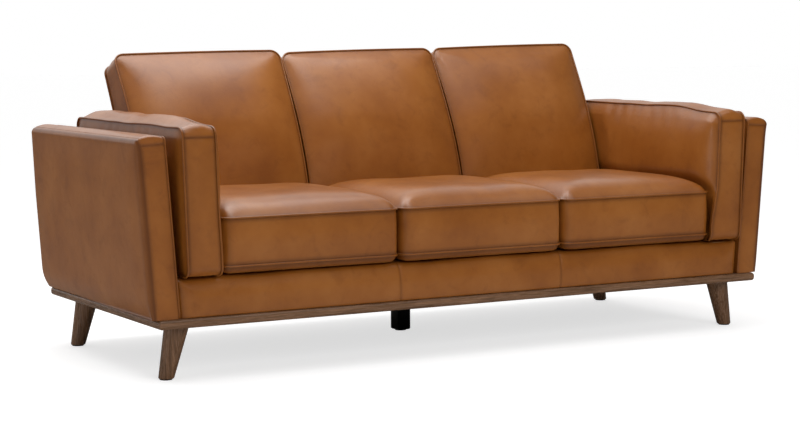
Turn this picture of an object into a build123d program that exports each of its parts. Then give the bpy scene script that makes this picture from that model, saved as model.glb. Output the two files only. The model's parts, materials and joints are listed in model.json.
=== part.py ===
from build123d import *
import os
from math import cos, hypot, radians, sin, tan

# Driving dimensions in millimetres and degrees.
# X runs along the sofa, Y from the front to the back, Z up from the floor.

# Bullnose trim round the base
TRIM_LENGTH = 2000.0
TRIM_DEPTH = 830.0
TRIM_HEIGHT = 25.0
TRIM_WIDTH = 130.0
TRIM_NOSE_RADIUS = 10.0
TRIM_CORNER_RADIUS = 14.0
TRIM_OVERHANG = 12.0

# Round tapered legs, measured from the floor to the underside of the trim
LEG_HEIGHT = 145.0
LEG_TOP_DIAMETER = 68.0
LEG_FOOT_DIAMETER = 43.0
LEG_FOOT_ROUNDING = 3.0
LEG_SPLAY = 33.0
LEG_INSET_X = 84.0
LEG_INSET_Y = 85.0

# Square support leg under the middle, and the floor glides of all five legs
CENTRE_LEG_SIZE = 46.0
CENTRE_LEG_X = 20.0
CENTRE_LEG_Y = 100.0
GLIDE_THICKNESS = 3.0
GLIDE_DIAMETER = 34.0

# Hanger bolts of the legs and screws of the trim
BOLT_DIAMETER = 8.0
BOLT_DEPTH_IN_LEG = 40.0
BOLT_DEPTH_IN_BEAM = 40.0
BOLT_END_COVER = 2.0
SCREW_DIAMETER = 4.5
SCREW_HEAD_DIAMETER = 9.0
SCREW_HEAD_HEIGHT = 3.0
SCREW_LENGTH = 50.0
FRONT_SCREW_X = (300.0, 750.0)
SIDE_SCREW_Y = 250.0
HOLE_CLEARANCE = 0.1

# Timber base frame
BASE_HEIGHT = 110.0
RAIL_THICKNESS = 25.0
SIDE_RAIL_GAP = 11.0
CROSS_RAIL_HEIGHT = 80.0
CENTRE_BEAM_WIDTH = 60.0
CENTRE_BEAM_HEIGHT = 92.0
CORNER_BLOCK_LEG = 70.0
CORNER_BLOCK_HEIGHT = 95.0

# Webbing, deck, padding and covers
WEB_WIDTH = 50.0
WEB_THICKNESS = 3.0
SEAT_WEBS_PER_CUSHION = 3
BACK_WEBS = 4
BACK_WEB_MARGIN = 25.0
DECK_THICKNESS = 7.0
LEATHER = 3.0
LINING = 2.0
FRONT_PADDING = 10.0
FRONT_TOP_PADDING = 4.0
FRONT_COVER_RETURN = 63.0
FRONT_COVER_ROUNDING = 12.0
BACK_PADDING = 12.0
DUST_COVER_THICKNESS = 1.5
DUST_COVER_LAP = 12.0
DUST_COVER_CLEARANCE = 1.0

# Leaning outer arm panels
ARM_PANEL_HEIGHT = 472.0
ARM_THICKNESS = 82.0
ARM_LEAN = 4.4
ARM_FOOT_INSET = 61.0
ARM_FOOT_RADIUS = 45.0
ARM_OUTER_TOP_RADIUS = 16.0
ARM_INNER_TOP_RADIUS = 10.0
ARM_BOARD_THICKNESS = 24.0
ARM_BOARD_INNER_PADDING = 13.0
ARM_BOARD_TOP_PADDING = 36.0
ARM_BOARD_END_PADDING = 30.0
COVER_END_GAP = 0.5

# Boxed pads inside the arms, and the battens that tie them to the panels
PAD_WIDTH = 96.0
PAD_HEIGHT = 410.0
PAD_LEAN = 2.0
PAD_TOP_RADIUS = 14.0
PAD_CLEARANCE = 6.0
PAD_PROUD = 33.0
PAD_REAR_CLEARANCE = 2.0
SPACER_BOTTOM_LIFT = 20.0
SPACER_HEIGHT = 300.0
SPACER_INSET = 90.0

# Back frame, whose inside face leans
BACK_RAKE = 24.0
BACK_FOOT_DEPTH = 221.0
POST_WIDTH = 30.0
POST_INNER_X = 280.0
TOP_RAIL_HEIGHT = 45.0
TOP_PADDING = 7.0

# Loose cushions
SEAT_PITCH = 548.0
SEAT_THICKNESS = 182.0
SEAT_PROUD = 15.0
BACK_PITCH_EASE = 2.0
BACK_THICKNESS = 112.0
BACK_HEIGHT = 586.0
CUSHION_LEATHER = 2.0
CUSHION_GAP = 2.0
BACK_CLEARANCE = 0.5
SEAT_TO_BACK_CLEARANCE = 1.5
FOAM_CLEARANCE = 0.3
SEAT_RADII = (15.0, 5.0, 10.0, 30.0)
BACK_RADII = (8.0, 8.0, 22.0, 30.0)

# Levels and planes that follow from the sizes above
TRIM_TOP = LEG_HEIGHT + TRIM_HEIGHT
DECK_TOP = TRIM_TOP + BASE_HEIGHT
DECK_BOTTOM = DECK_TOP - DECK_THICKNESS
RAIL_TOP = DECK_BOTTOM - WEB_THICKNESS
ARM_TOP = TRIM_TOP + ARM_PANEL_HEIGHT
BACK_FRAME_TOP = ARM_TOP - LINING

BASE_FRONT = -TRIM_DEPTH / 2 + TRIM_OVERHANG
BASE_REAR = TRIM_DEPTH / 2 - TRIM_OVERHANG
FRONT_RAIL_FRONT = BASE_FRONT + LEATHER + FRONT_PADDING
FRONT_RAIL_REAR = FRONT_RAIL_FRONT + RAIL_THICKNESS
REAR_RAIL_REAR = BASE_REAR - LEATHER - FRONT_PADDING
REAR_RAIL_FRONT = REAR_RAIL_REAR - RAIL_THICKNESS
DECK_FRONT = BASE_FRONT + FRONT_COVER_RETURN

ARM_FOOT_X = TRIM_LENGTH / 2 - ARM_FOOT_INSET
SIDE_RAIL_OUTER = ARM_FOOT_X - SIDE_RAIL_GAP
SIDE_RAIL_INNER = SIDE_RAIL_OUTER - RAIL_THICKNESS
BACK_PITCH = SEAT_PITCH - BACK_PITCH_EASE
PAD_INNER_X = 1.5 * SEAT_PITCH + PAD_CLEARANCE
LINING_HALF = PAD_INNER_X - 2 * COVER_END_GAP

WEB_DEPTH = LINING + BACK_PADDING
POST_DEPTH = WEB_DEPTH + WEB_THICKNESS
TOP_RAIL_TOP = BACK_FRAME_TOP - LEATHER - TOP_PADDING
POST_TOP = TOP_RAIL_TOP - TOP_RAIL_HEIGHT
SLAB_TOP = BACK_FRAME_TOP - LEATHER


def lining_y(z, depth=0.0):
    """Y of the leaning plane that lies a given depth behind the lining's face, at a height."""
    foot = BASE_REAR - BACK_FOOT_DEPTH
    return foot + (z - DECK_TOP) * tan(radians(BACK_RAKE)) + depth / cos(radians(BACK_RAKE))


POST_FRONT = lining_y(RAIL_TOP, POST_DEPTH)
CROSS_RAIL_FRONT = POST_FRONT - RAIL_THICKNESS
TOP_RAIL_FRONT = lining_y(TOP_RAIL_TOP, POST_DEPTH)
PAD_REAR = lining_y(SLAB_TOP) - PAD_REAR_CLEARANCE


# Shared shape functions

def inset_corners(corners, amount):
    """Corners of a convex outline, listed counter-clockwise, after every side moves inwards."""
    count = len(corners)
    sides = []
    for start, end in zip(corners, corners[1:] + corners[:1]):
        along = (end[0] - start[0], end[1] - start[1])
        length = hypot(*along)
        inward = (-along[1] / length, along[0] / length)
        moved = (start[0] + inward[0] * amount, start[1] + inward[1] * amount)
        sides.append((moved, along))
    result = []
    for index in range(count):
        (p, u) = sides[index - 1]
        (q, v) = sides[index]
        cross = u[0] * v[1] - u[1] * v[0]
        step = ((q[0] - p[0]) * v[1] - (q[1] - p[1]) * v[0]) / cross
        result.append((p[0] + u[0] * step, p[1] + u[1] * step))
    return result


def outline(plane, corners, radii=None):
    """Flat face on a plane with a rounding at each corner."""
    rounding = radii or [0.0] * len(corners)
    return plane * make_face(FilletPolyline(*corners, radius=list(rounding), close=True))


def along_x(corners, x_start, x_end, radii=None):
    """Solid with a Y-Z section, running along X."""
    plane = Plane(origin=(x_start, 0, 0), x_dir=(0, 1, 0), z_dir=(1, 0, 0))
    return extrude(outline(plane, corners, radii), amount=x_end - x_start)


def along_y(corners, y_start, y_end, radii=None):
    """Solid with an X-Z section, running along Y."""
    plane = Plane(origin=(0, y_start, 0), x_dir=(1, 0, 0), z_dir=(0, -1, 0))
    return extrude(outline(plane, corners, radii), amount=y_start - y_end)


def block(x_range, y_range, z_range):
    """Rectangular block between two limits on each axis."""
    corners = [(y_range[0], z_range[0]), (y_range[1], z_range[0]),
               (y_range[1], z_range[1]), (y_range[0], z_range[1])]
    return along_x(corners, x_range[0], x_range[1])


def rounded_body(run, corners, radii, limits, inset):
    """Soft body that lies a given distance inside its outline and its two ends."""
    inner_radii = [max(radius - inset, 0.0) for radius in radii]
    return run(inset_corners(corners, inset), limits[0] + inset, limits[1] - inset, inner_radii)


def cover_and_foam(run, corners, radii, limits, leather):
    """Leather shell of one soft body, and the foam that fills it."""
    outer = rounded_body(run, corners, radii, limits, 0.0)
    cavity = rounded_body(run, corners, radii, limits, leather)
    foam = rounded_body(run, corners, radii, limits, leather + FOAM_CLEARANCE)
    return outer - cavity, foam


def mirrored(shape):
    """The same piece on the other end of the sofa."""
    return mirror(shape, about=Plane.YZ)


def rod(start, end, diameter):
    """Round bar between two points."""
    axis = Vector(*end) - Vector(*start)
    plane = Plane(origin=start, z_dir=axis)
    return extrude(plane * Circle(diameter / 2), amount=axis.length)


# Fasteners

def leg_axis_point(side, end, height):
    """Point on a splayed leg's axis at a height above the floor."""
    top_x = TRIM_LENGTH / 2 - LEG_INSET_X
    outward = LEG_SPLAY * (LEG_HEIGHT - height) / (LEG_HEIGHT - GLIDE_THICKNESS)
    return (side * (top_x + outward), end * (TRIM_DEPTH / 2 - LEG_INSET_Y), height)


def leg_bolt(side, end, extra=0.0):
    """Hanger bolt on a splayed leg's axis, from inside the leg up into the trim."""
    low = leg_axis_point(side, end, LEG_HEIGHT - BOLT_DEPTH_IN_LEG - extra)
    high = leg_axis_point(side, end, TRIM_TOP - BOLT_END_COVER + extra)
    return rod(low, high, BOLT_DIAMETER + 2 * extra)


def centre_bolt(extra=0.0):
    """Hanger bolt of the support leg, from inside the leg up into the centre beam."""
    low = (CENTRE_LEG_X, CENTRE_LEG_Y, TRIM_TOP - BOLT_DEPTH_IN_LEG - extra)
    high = (CENTRE_LEG_X, CENTRE_LEG_Y, TRIM_TOP + BOLT_DEPTH_IN_BEAM + extra)
    return rod(low, high, BOLT_DIAMETER + 2 * extra)


def screw_places():
    """Where the trim's screws enter: into both long rails and into both arm boards."""
    long_rails = (BASE_FRONT + LEATHER + FRONT_PADDING + RAIL_THICKNESS / 2,
                  REAR_RAIL_REAR - RAIL_THICKNESS / 2)
    board_x = arm_inner_x(TRIM_TOP + LEATHER) + ARM_BOARD_INNER_PADDING + ARM_BOARD_THICKNESS / 2
    places = [(side * x, y) for side in (-1, 1) for x in FRONT_SCREW_X for y in long_rails]
    places += [(side * board_x, end * SIDE_SCREW_Y) for side in (-1, 1) for end in (-1, 1)]
    return places


def trim_screw(place, extra=0.0):
    """Wood screw whose head lies flush with the underside of the trim."""
    foot = (place[0], place[1], LEG_HEIGHT)
    neck = (place[0], place[1], LEG_HEIGHT + SCREW_HEAD_HEIGHT + extra)
    tip = (place[0], place[1], LEG_HEIGHT + SCREW_LENGTH + extra)
    head = rod(foot, neck, SCREW_HEAD_DIAMETER + 2 * extra)
    return head + rod(foot, tip, SCREW_DIAMETER + 2 * extra)


def arm_inner_x(z):
    """X of the outer arm panel's inner face at a height."""
    return ARM_FOOT_X + (z - TRIM_TOP) * tan(radians(ARM_LEAN))


def pad_face_x(z, width=0.0):
    """X of the arm pad's inner face at a height, or of a face that lies further out."""
    return PAD_INNER_X + width + (z - DECK_TOP) * tan(radians(PAD_LEAN))


SCREWS = [trim_screw(place) for place in screw_places()]
SCREW_HOLES = [trim_screw(place, HOLE_CLEARANCE) for place in screw_places()]
CORNERS = [(side, end) for end in (-1, 1) for side in (-1, 1)]
BOLTS = [leg_bolt(side, end) for side, end in CORNERS] + [centre_bolt()]
BOLT_HOLES = [leg_bolt(side, end, HOLE_CLEARANCE) for side, end in CORNERS]


# Base: trim, legs and timber frame

def make_trim():
    """Four bullnose boards cut from one rounded frame along its mitres."""
    half_x = TRIM_LENGTH / 2
    half_y = TRIM_DEPTH / 2
    board = Pos(0, 0, LEG_HEIGHT) * extrude(
        RectangleRounded(TRIM_LENGTH, TRIM_DEPTH, TRIM_CORNER_RADIUS), amount=TRIM_HEIGHT)
    rims = board.faces().filter_by(Axis.Z).edges()
    opening = Pos(0, 0, LEG_HEIGHT) * extrude(
        Rectangle(TRIM_LENGTH - 2 * TRIM_WIDTH, TRIM_DEPTH - 2 * TRIM_WIDTH), amount=TRIM_HEIGHT)
    frame = fillet(rims, TRIM_NOSE_RADIUS) - opening
    frame = frame - SCREW_HOLES - BOLT_HOLES
    inner_x = half_x - TRIM_WIDTH
    inner_y = half_y - TRIM_WIDTH
    wedges = {
        "front_trim": [(-half_x, -half_y), (half_x, -half_y), (inner_x, -inner_y), (-inner_x, -inner_y)],
        "rear_trim": [(-inner_x, inner_y), (inner_x, inner_y), (half_x, half_y), (-half_x, half_y)],
        "left_trim": [(-half_x, -half_y), (-inner_x, -inner_y), (-inner_x, inner_y), (-half_x, half_y)],
        "right_trim": [(inner_x, -inner_y), (half_x, -half_y), (half_x, half_y), (inner_x, inner_y)],
    }
    plane = Plane.XY.offset(LEG_HEIGHT)
    return {name: frame & extrude(outline(plane, wedge), amount=TRIM_HEIGHT)
            for name, wedge in wedges.items()}


def make_leg(side, end):
    """Round leg that tapers and leans outwards towards its foot, with a hole for its bolt."""
    foot = Pos(*leg_axis_point(side, end, GLIDE_THICKNESS)) * Circle(LEG_FOOT_DIAMETER / 2)
    top = Pos(*leg_axis_point(side, end, LEG_HEIGHT)) * Circle(LEG_TOP_DIAMETER / 2)
    leg = loft([foot.face(), top.face()])
    leg = fillet(leg.edges().sort_by(Axis.Z)[0], LEG_FOOT_ROUNDING)
    return leg - leg_bolt(side, end, HOLE_CLEARANCE)


def make_centre_leg():
    """Plain square leg from the floor glide up to the centre beam."""
    half = CENTRE_LEG_SIZE / 2
    leg = block((CENTRE_LEG_X - half, CENTRE_LEG_X + half), (CENTRE_LEG_Y - half, CENTRE_LEG_Y + half),
                (GLIDE_THICKNESS, TRIM_TOP))
    return leg - centre_bolt(HOLE_CLEARANCE)


def make_glides():
    """Round floor glides under the five legs."""
    feet = [leg_axis_point(side, end, GLIDE_THICKNESS)[:2] for side, end in CORNERS]
    feet.append((CENTRE_LEG_X, CENTRE_LEG_Y))
    return [rod((x, y, 0), (x, y, GLIDE_THICKNESS), GLIDE_DIAMETER) for x, y in feet]


def make_rails():
    """Timber rails and centre beam of the base, standing on the trim."""
    long_x = (-SIDE_RAIL_OUTER, SIDE_RAIL_OUTER)
    front = block(long_x, (FRONT_RAIL_FRONT, FRONT_RAIL_REAR), (TRIM_TOP, RAIL_TOP))
    rear = block(long_x, (REAR_RAIL_FRONT, REAR_RAIL_REAR), (TRIM_TOP, RAIL_TOP))
    right = block((SIDE_RAIL_INNER, SIDE_RAIL_OUTER), (FRONT_RAIL_REAR, REAR_RAIL_FRONT),
                  (TRIM_TOP, DECK_BOTTOM))
    cross = block((-SIDE_RAIL_INNER, SIDE_RAIL_INNER), (CROSS_RAIL_FRONT, POST_FRONT),
                  (RAIL_TOP - CROSS_RAIL_HEIGHT, RAIL_TOP))
    half = CENTRE_BEAM_WIDTH / 2
    beam = block((CENTRE_LEG_X - half, CENTRE_LEG_X + half), (FRONT_RAIL_REAR, CROSS_RAIL_FRONT),
                 (TRIM_TOP, TRIM_TOP + CENTRE_BEAM_HEIGHT))
    return {
        "front_rail": front - SCREW_HOLES,
        "rear_rail": rear - SCREW_HOLES,
        "right_side_rail": right,
        "left_side_rail": mirrored(right),
        "seat_back_rail": cross,
        "centre_beam": beam - centre_bolt(HOLE_CLEARANCE),
    }


def make_corner_blocks():
    """Triangular glue blocks where the rails meet."""
    blocks = []
    for side, end in CORNERS:
        x = side * SIDE_RAIL_INNER
        y = FRONT_RAIL_REAR if end < 0 else REAR_RAIL_FRONT
        corners = [(x, y), (x - side * CORNER_BLOCK_LEG, y), (x, y - end * CORNER_BLOCK_LEG)]
        plane = Plane.XY.offset(TRIM_TOP)
        blocks.append(extrude(outline(plane, corners), amount=CORNER_BLOCK_HEIGHT))
    return blocks


# Seat platform

def make_seat_webbing():
    """Straps from the front rail to the cross rail, evenly spread under each cushion."""
    pitch = SEAT_PITCH / SEAT_WEBS_PER_CUSHION
    count = 3 * SEAT_WEBS_PER_CUSHION
    places = [(index - (count - 1) / 2) * pitch for index in range(count)]
    return [block((x - WEB_WIDTH / 2, x + WEB_WIDTH / 2), (FRONT_RAIL_FRONT, POST_FRONT),
                  (RAIL_TOP, DECK_BOTTOM)) for x in places]


def make_seat_deck():
    """Felt and cloth deck on the straps."""
    return block((-SIDE_RAIL_OUTER, SIDE_RAIL_OUTER), (DECK_FRONT, POST_FRONT), (DECK_BOTTOM, DECK_TOP))


def make_dust_cover():
    """Cloth under the base, with a hole for the support leg."""
    half_x = TRIM_LENGTH / 2 - TRIM_WIDTH + DUST_COVER_LAP
    half_y = TRIM_DEPTH / 2 - TRIM_WIDTH + DUST_COVER_LAP
    levels = (LEG_HEIGHT - DUST_COVER_THICKNESS, LEG_HEIGHT)
    hole = CENTRE_LEG_SIZE / 2 + DUST_COVER_CLEARANCE
    return (block((-half_x, half_x), (-half_y, half_y), levels)
            - block((CENTRE_LEG_X - hole, CENTRE_LEG_X + hole), (CENTRE_LEG_Y - hole, CENTRE_LEG_Y + hole),
                    levels))


def between_arms(levels, y_range):
    """Space between the two leaning arm panels, with a small gap at each end."""
    low = arm_inner_x(levels[0]) - COVER_END_GAP
    high = arm_inner_x(levels[1]) - COVER_END_GAP
    corners = [(-low, levels[0]), (low, levels[0]), (high, levels[1]), (-high, levels[1])]
    return along_y(corners, y_range[0], y_range[1])


def bent_panel(corners, radii=None):
    """Panel with a bent Y-Z section that runs from one arm panel to the other."""
    ys = [corner[0] for corner in corners]
    zs = [corner[1] for corner in corners]
    reach = arm_inner_x(max(zs))
    return along_x(corners, -reach, reach, radii) & between_arms((min(zs), max(zs)), (min(ys), max(ys)))


def make_front_rail_upholstery():
    """Padding over the front rail, and the leather over that."""
    skin_y = BASE_FRONT + LEATHER
    skin_z = DECK_TOP - LEATHER
    padding = [(skin_y, TRIM_TOP), (FRONT_RAIL_FRONT, TRIM_TOP), (FRONT_RAIL_FRONT, skin_z - FRONT_TOP_PADDING),
               (DECK_FRONT, skin_z - FRONT_TOP_PADDING), (DECK_FRONT, skin_z), (skin_y, skin_z)]
    cover = [(BASE_FRONT, TRIM_TOP), (skin_y, TRIM_TOP), (skin_y, skin_z), (DECK_FRONT, skin_z),
             (DECK_FRONT, DECK_TOP), (BASE_FRONT, DECK_TOP)]
    inner_round = FRONT_COVER_ROUNDING - LEATHER
    return {
        "front_rail_padding": bent_panel(padding, [0, 0, 0, 0, 0, inner_round]),
        "front_rail_cover": bent_panel(cover, [0, 0, inner_round, 0, 0, FRONT_COVER_ROUNDING]),
    }


# Back frame

def leaning_slab(z_range, depth_range, half_length):
    """Sheet that lies along the leaning inside face of the back, between two depths."""
    (low, high) = z_range
    (near, far) = depth_range
    corners = [(lining_y(low, near), low), (lining_y(low, far), low),
               (lining_y(high, far), high), (lining_y(high, near), high)]
    return along_x(corners, -half_length, half_length)


def make_back_post(x_inner):
    """Post whose front edge leans with the back and whose foot laps over the rear rail."""
    corners = [(POST_FRONT, TRIM_TOP), (REAR_RAIL_FRONT, TRIM_TOP), (REAR_RAIL_FRONT, RAIL_TOP),
               (REAR_RAIL_REAR, RAIL_TOP), (REAR_RAIL_REAR, POST_TOP),
               (lining_y(POST_TOP, POST_DEPTH), POST_TOP), (POST_FRONT, RAIL_TOP)]
    return along_x(corners, x_inner, x_inner + POST_WIDTH)


def make_back_webbing():
    """Straps across the posts, evenly spread up the back."""
    low = DECK_TOP + BACK_WEB_MARGIN
    span = POST_TOP - BACK_WEB_MARGIN - WEB_WIDTH - low
    levels = [low + span * index / (BACK_WEBS - 1) for index in range(BACK_WEBS)]
    return [leaning_slab((z, z + WEB_WIDTH), (WEB_DEPTH, POST_DEPTH), LINING_HALF) for z in levels]


def make_back():
    """Posts, top rail, padding, lining and outside leather of the back."""
    outer_post = make_back_post(LINING_HALF - POST_WIDTH)
    inner_post = make_back_post(POST_INNER_X - POST_WIDTH / 2)
    top_rail = block((-SIDE_RAIL_OUTER, SIDE_RAIL_OUTER), (TOP_RAIL_FRONT, REAR_RAIL_REAR),
                     (POST_TOP, TOP_RAIL_TOP))
    skin_y = BASE_REAR - LEATHER
    padding = [(REAR_RAIL_REAR, TRIM_TOP), (skin_y, TRIM_TOP), (skin_y, SLAB_TOP),
               (TOP_RAIL_FRONT, SLAB_TOP), (TOP_RAIL_FRONT, TOP_RAIL_TOP), (REAR_RAIL_REAR, TOP_RAIL_TOP)]
    cover = [(skin_y, TRIM_TOP), (BASE_REAR, TRIM_TOP), (BASE_REAR, BACK_FRAME_TOP),
             (lining_y(BACK_FRAME_TOP), BACK_FRAME_TOP), (lining_y(SLAB_TOP), SLAB_TOP), (skin_y, SLAB_TOP)]
    slab = (DECK_TOP, SLAB_TOP)
    return {
        "right_back_post": outer_post,
        "left_back_post": mirrored(outer_post),
        "inner_back_posts": [inner_post, mirrored(inner_post)],
        "back_top_rail": top_rail,
        "back_webbing": make_back_webbing(),
        "inside_back_padding": leaning_slab(slab, (LINING, WEB_DEPTH), LINING_HALF),
        "inside_back_cover": leaning_slab(slab, (0.0, LINING), LINING_HALF),
        "outside_back_padding": bent_panel(padding),
        "outside_back_cover": bent_panel(cover),
    }


# Arms

def arm_panel_corners():
    """Outline of the right arm panel, counter-clockwise from its inner foot."""
    foot_x = arm_inner_x(TRIM_TOP)
    top_x = arm_inner_x(ARM_TOP)
    return [(foot_x, TRIM_TOP), (foot_x + ARM_THICKNESS, TRIM_TOP),
            (top_x + ARM_THICKNESS, ARM_TOP), (top_x, ARM_TOP)]


def make_arm_board():
    """Timber panel inside the arm, leaning with it, whose foot stands on the flat of the arm's foot."""
    low = TRIM_TOP + LEATHER
    high = ARM_TOP - ARM_BOARD_TOP_PADDING
    side = ARM_BOARD_INNER_PADDING
    corners = [(arm_inner_x(low) + side, low), (arm_inner_x(low) + side + ARM_BOARD_THICKNESS, low),
               (arm_inner_x(high) + side + ARM_BOARD_THICKNESS, high), (arm_inner_x(high) + side, high)]
    return along_y(corners, BASE_FRONT + ARM_BOARD_END_PADDING, BASE_REAR - ARM_BOARD_END_PADDING)


def make_outer_arm():
    """Board, padding and leather of the right arm panel."""
    corners = arm_panel_corners()
    radii = (0.0, ARM_FOOT_RADIUS, ARM_OUTER_TOP_RADIUS, ARM_INNER_TOP_RADIUS)
    limits = (BASE_FRONT, BASE_REAR)
    board = make_arm_board()
    cavity = rounded_body(along_y, corners, radii, limits, LEATHER)
    cover = rounded_body(along_y, corners, radii, limits, 0.0) - cavity
    return {
        "outer_arm_cover": cover - SCREW_HOLES,
        "outer_arm_padding": cavity - board,
        "arm_board": board - SCREW_HOLES,
    }


def make_inner_arm():
    """Leather and foam of the boxed pad inside the right arm."""
    top = DECK_TOP + PAD_HEIGHT
    corners = [(pad_face_x(DECK_TOP), DECK_TOP), (pad_face_x(DECK_TOP, PAD_WIDTH), DECK_TOP),
               (pad_face_x(top, PAD_WIDTH), top), (pad_face_x(top), top)]
    radii = (LEATHER, LEATHER, PAD_TOP_RADIUS, PAD_TOP_RADIUS)
    limits = (BASE_FRONT - PAD_PROUD, PAD_REAR)
    cover, foam = cover_and_foam(along_y, corners, radii, limits, LEATHER)
    return {"inner_arm_cover": cover, "inner_arm_foam": foam}


def make_arm_spacer():
    """Tapered batten that fills the gap between the arm panel and its pad."""
    low = DECK_TOP + SPACER_BOTTOM_LIFT
    high = low + SPACER_HEIGHT
    corners = [(pad_face_x(low, PAD_WIDTH), low), (arm_inner_x(low), low),
               (arm_inner_x(high), high), (pad_face_x(high, PAD_WIDTH), high)]
    return along_y(corners, BASE_FRONT + SPACER_INSET, PAD_REAR - SPACER_INSET)


def make_arms():
    """Every arm piece, on the right and mirrored to the left."""
    pieces = {**make_outer_arm(), **make_inner_arm(), "arm_spacer": make_arm_spacer()}
    right = {"right_" + name: shape for name, shape in pieces.items()}
    left = {"left_" + name: mirrored(shape) for name, shape in pieces.items()}
    return {**right, **left}


# Loose cushions

def cushion_limits(index, pitch):
    """Ends of one of the three cushions along X, with half the gap left free at each."""
    centre = (index - 1) * pitch
    return (centre - (pitch - CUSHION_GAP) / 2, centre + (pitch - CUSHION_GAP) / 2)


def back_front_y(z):
    """Y of the back cushions' front face at a height."""
    return lining_y(z, -BACK_CLEARANCE - BACK_THICKNESS)


def seat_corners():
    """Section of a seat cushion, whose rear face leans with the back cushion behind it."""
    top = DECK_TOP + SEAT_THICKNESS
    front = BASE_FRONT - SEAT_PROUD
    return [(front, DECK_TOP), (back_front_y(DECK_TOP) - SEAT_TO_BACK_CLEARANCE, DECK_TOP),
            (back_front_y(top) - SEAT_TO_BACK_CLEARANCE, top), (front, top)]


def back_corners():
    """Section of a back cushion: it stands flat on the deck and ends square to its lean."""
    top = DECK_TOP + BACK_HEIGHT
    rear_top = top - BACK_THICKNESS * sin(radians(BACK_RAKE))
    return [(back_front_y(DECK_TOP), DECK_TOP), (lining_y(DECK_TOP, -BACK_CLEARANCE), DECK_TOP),
            (lining_y(rear_top, -BACK_CLEARANCE), rear_top), (back_front_y(top), top)]


def make_cushions():
    """Leather cover and foam of the three seat and three back cushions."""
    pieces = {}
    sets = (("seat_cushion", seat_corners(), SEAT_RADII, SEAT_PITCH),
            ("back_cushion", back_corners(), BACK_RADII, BACK_PITCH))
    for kind, corners, radii, pitch in sets:
        for index, place in enumerate(("left", "middle", "right")):
            limits = cushion_limits(index, pitch)
            cover, foam = cover_and_foam(along_x, corners, radii, limits, CUSHION_LEATHER)
            pieces[f"{kind}_{place}_cover"] = cover
            pieces[f"{kind}_{place}_foam"] = foam
    return pieces


# Assembly and export

def make_nodes():
    """Every named piece of the sofa, as one solid or as a group of like solids."""
    nodes = make_trim()
    for end, row in ((-1, "front"), (1, "rear")):
        for side, hand in ((-1, "left"), (1, "right")):
            nodes[f"{row}_{hand}_leg"] = make_leg(side, end)
    nodes["centre_leg"] = make_centre_leg()
    nodes["leg_glides"] = make_glides()
    nodes["leg_bolts"] = BOLTS
    nodes["trim_screws"] = SCREWS
    nodes.update(make_rails())
    nodes["corner_blocks"] = make_corner_blocks()
    nodes["seat_webbing"] = make_seat_webbing()
    nodes["seat_deck"] = make_seat_deck()
    nodes["dust_cover"] = make_dust_cover()
    nodes.update(make_front_rail_upholstery())
    nodes.update(make_back())
    nodes.update(make_arms())
    nodes.update(make_cushions())
    return nodes


def solids_of(shape):
    """All the solids of one node."""
    shapes = shape if isinstance(shape, list) else [shape]
    return [solid for item in shapes for solid in item.solids()]


def main():
    """Centre the sofa over the origin, front to back, and write one file for each node."""
    os.makedirs("parts", exist_ok=True)
    nodes = {name: Compound(children=solids_of(shape)) for name, shape in make_nodes().items()}
    boxes = [node.bounding_box() for node in nodes.values()]
    front = min(box.min.Y for box in boxes)
    rear = max(box.max.Y for box in boxes)
    for name, node in nodes.items():
        export_step(Pos(0, -(front + rear) / 2, 0) * node, f"parts/{name}.step")


main()
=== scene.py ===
"""Looks of a three-seat leather sofa with wooden legs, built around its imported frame.

Every soft piece is a boxed form: two panels over a rounded rectangle with a strip sewn between them.
The loose cushions and the arm pads are blown up by a cloth simulation with both seams held, and the tight
covers are shaped directly. Each form is then mapped to its place between its neighbours.
"""
import json
import math
from functools import cache, partial
from types import SimpleNamespace

import bpy
import numpy as np
from bpy.props import FloatProperty, FloatVectorProperty, PointerProperty
from mathutils import Matrix, Vector


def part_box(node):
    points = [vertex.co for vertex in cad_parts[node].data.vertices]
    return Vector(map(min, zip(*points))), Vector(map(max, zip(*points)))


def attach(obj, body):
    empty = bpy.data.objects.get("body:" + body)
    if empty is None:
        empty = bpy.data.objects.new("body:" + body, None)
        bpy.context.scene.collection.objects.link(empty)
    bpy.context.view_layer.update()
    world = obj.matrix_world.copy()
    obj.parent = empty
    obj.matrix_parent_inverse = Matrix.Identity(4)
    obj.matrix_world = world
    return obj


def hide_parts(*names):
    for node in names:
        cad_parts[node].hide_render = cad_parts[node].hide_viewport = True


bl_info = {
    "name": "Leather Sofa with Wooden Legs",
    "version": (1, 0, 0),
    "blender": (4, 5, 0),
    "location": "3D View > Sidebar > Sofa",
    "description": "Builds the leather, wood and stage of a three-seat sofa around its packed frame",
    "category": "Object",
}

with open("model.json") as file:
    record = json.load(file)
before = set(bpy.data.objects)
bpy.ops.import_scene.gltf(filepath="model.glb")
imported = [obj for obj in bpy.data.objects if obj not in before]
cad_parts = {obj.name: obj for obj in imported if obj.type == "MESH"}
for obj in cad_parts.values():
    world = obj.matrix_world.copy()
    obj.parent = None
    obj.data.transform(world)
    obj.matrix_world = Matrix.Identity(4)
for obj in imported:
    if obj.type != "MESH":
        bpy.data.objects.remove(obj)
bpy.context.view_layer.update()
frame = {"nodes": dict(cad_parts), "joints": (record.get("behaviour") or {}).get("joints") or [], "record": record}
MM = 0.001
PLACES = ("left", "middle", "right")


# Colours and frame measures


def linear(code):
    """sRGB hex code as linear RGBA: c / 12.92 up to 0.04045, and ((c + 0.055) / 1.055) to the 2.4 above."""
    srgb = np.array([int(code[start:start + 2], 16) for start in (1, 3, 5)]) / 255
    rgb = np.where(srgb <= 0.04045, srgb / 12.92, ((srgb + 0.055) / 1.055) ** 2.4)
    return (*rgb.tolist(), 1.0)


def corners(node):
    """Lowest and highest corner of a frame node, as two arrays."""
    low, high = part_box(node)
    return np.array(low), np.array(high)


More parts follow.
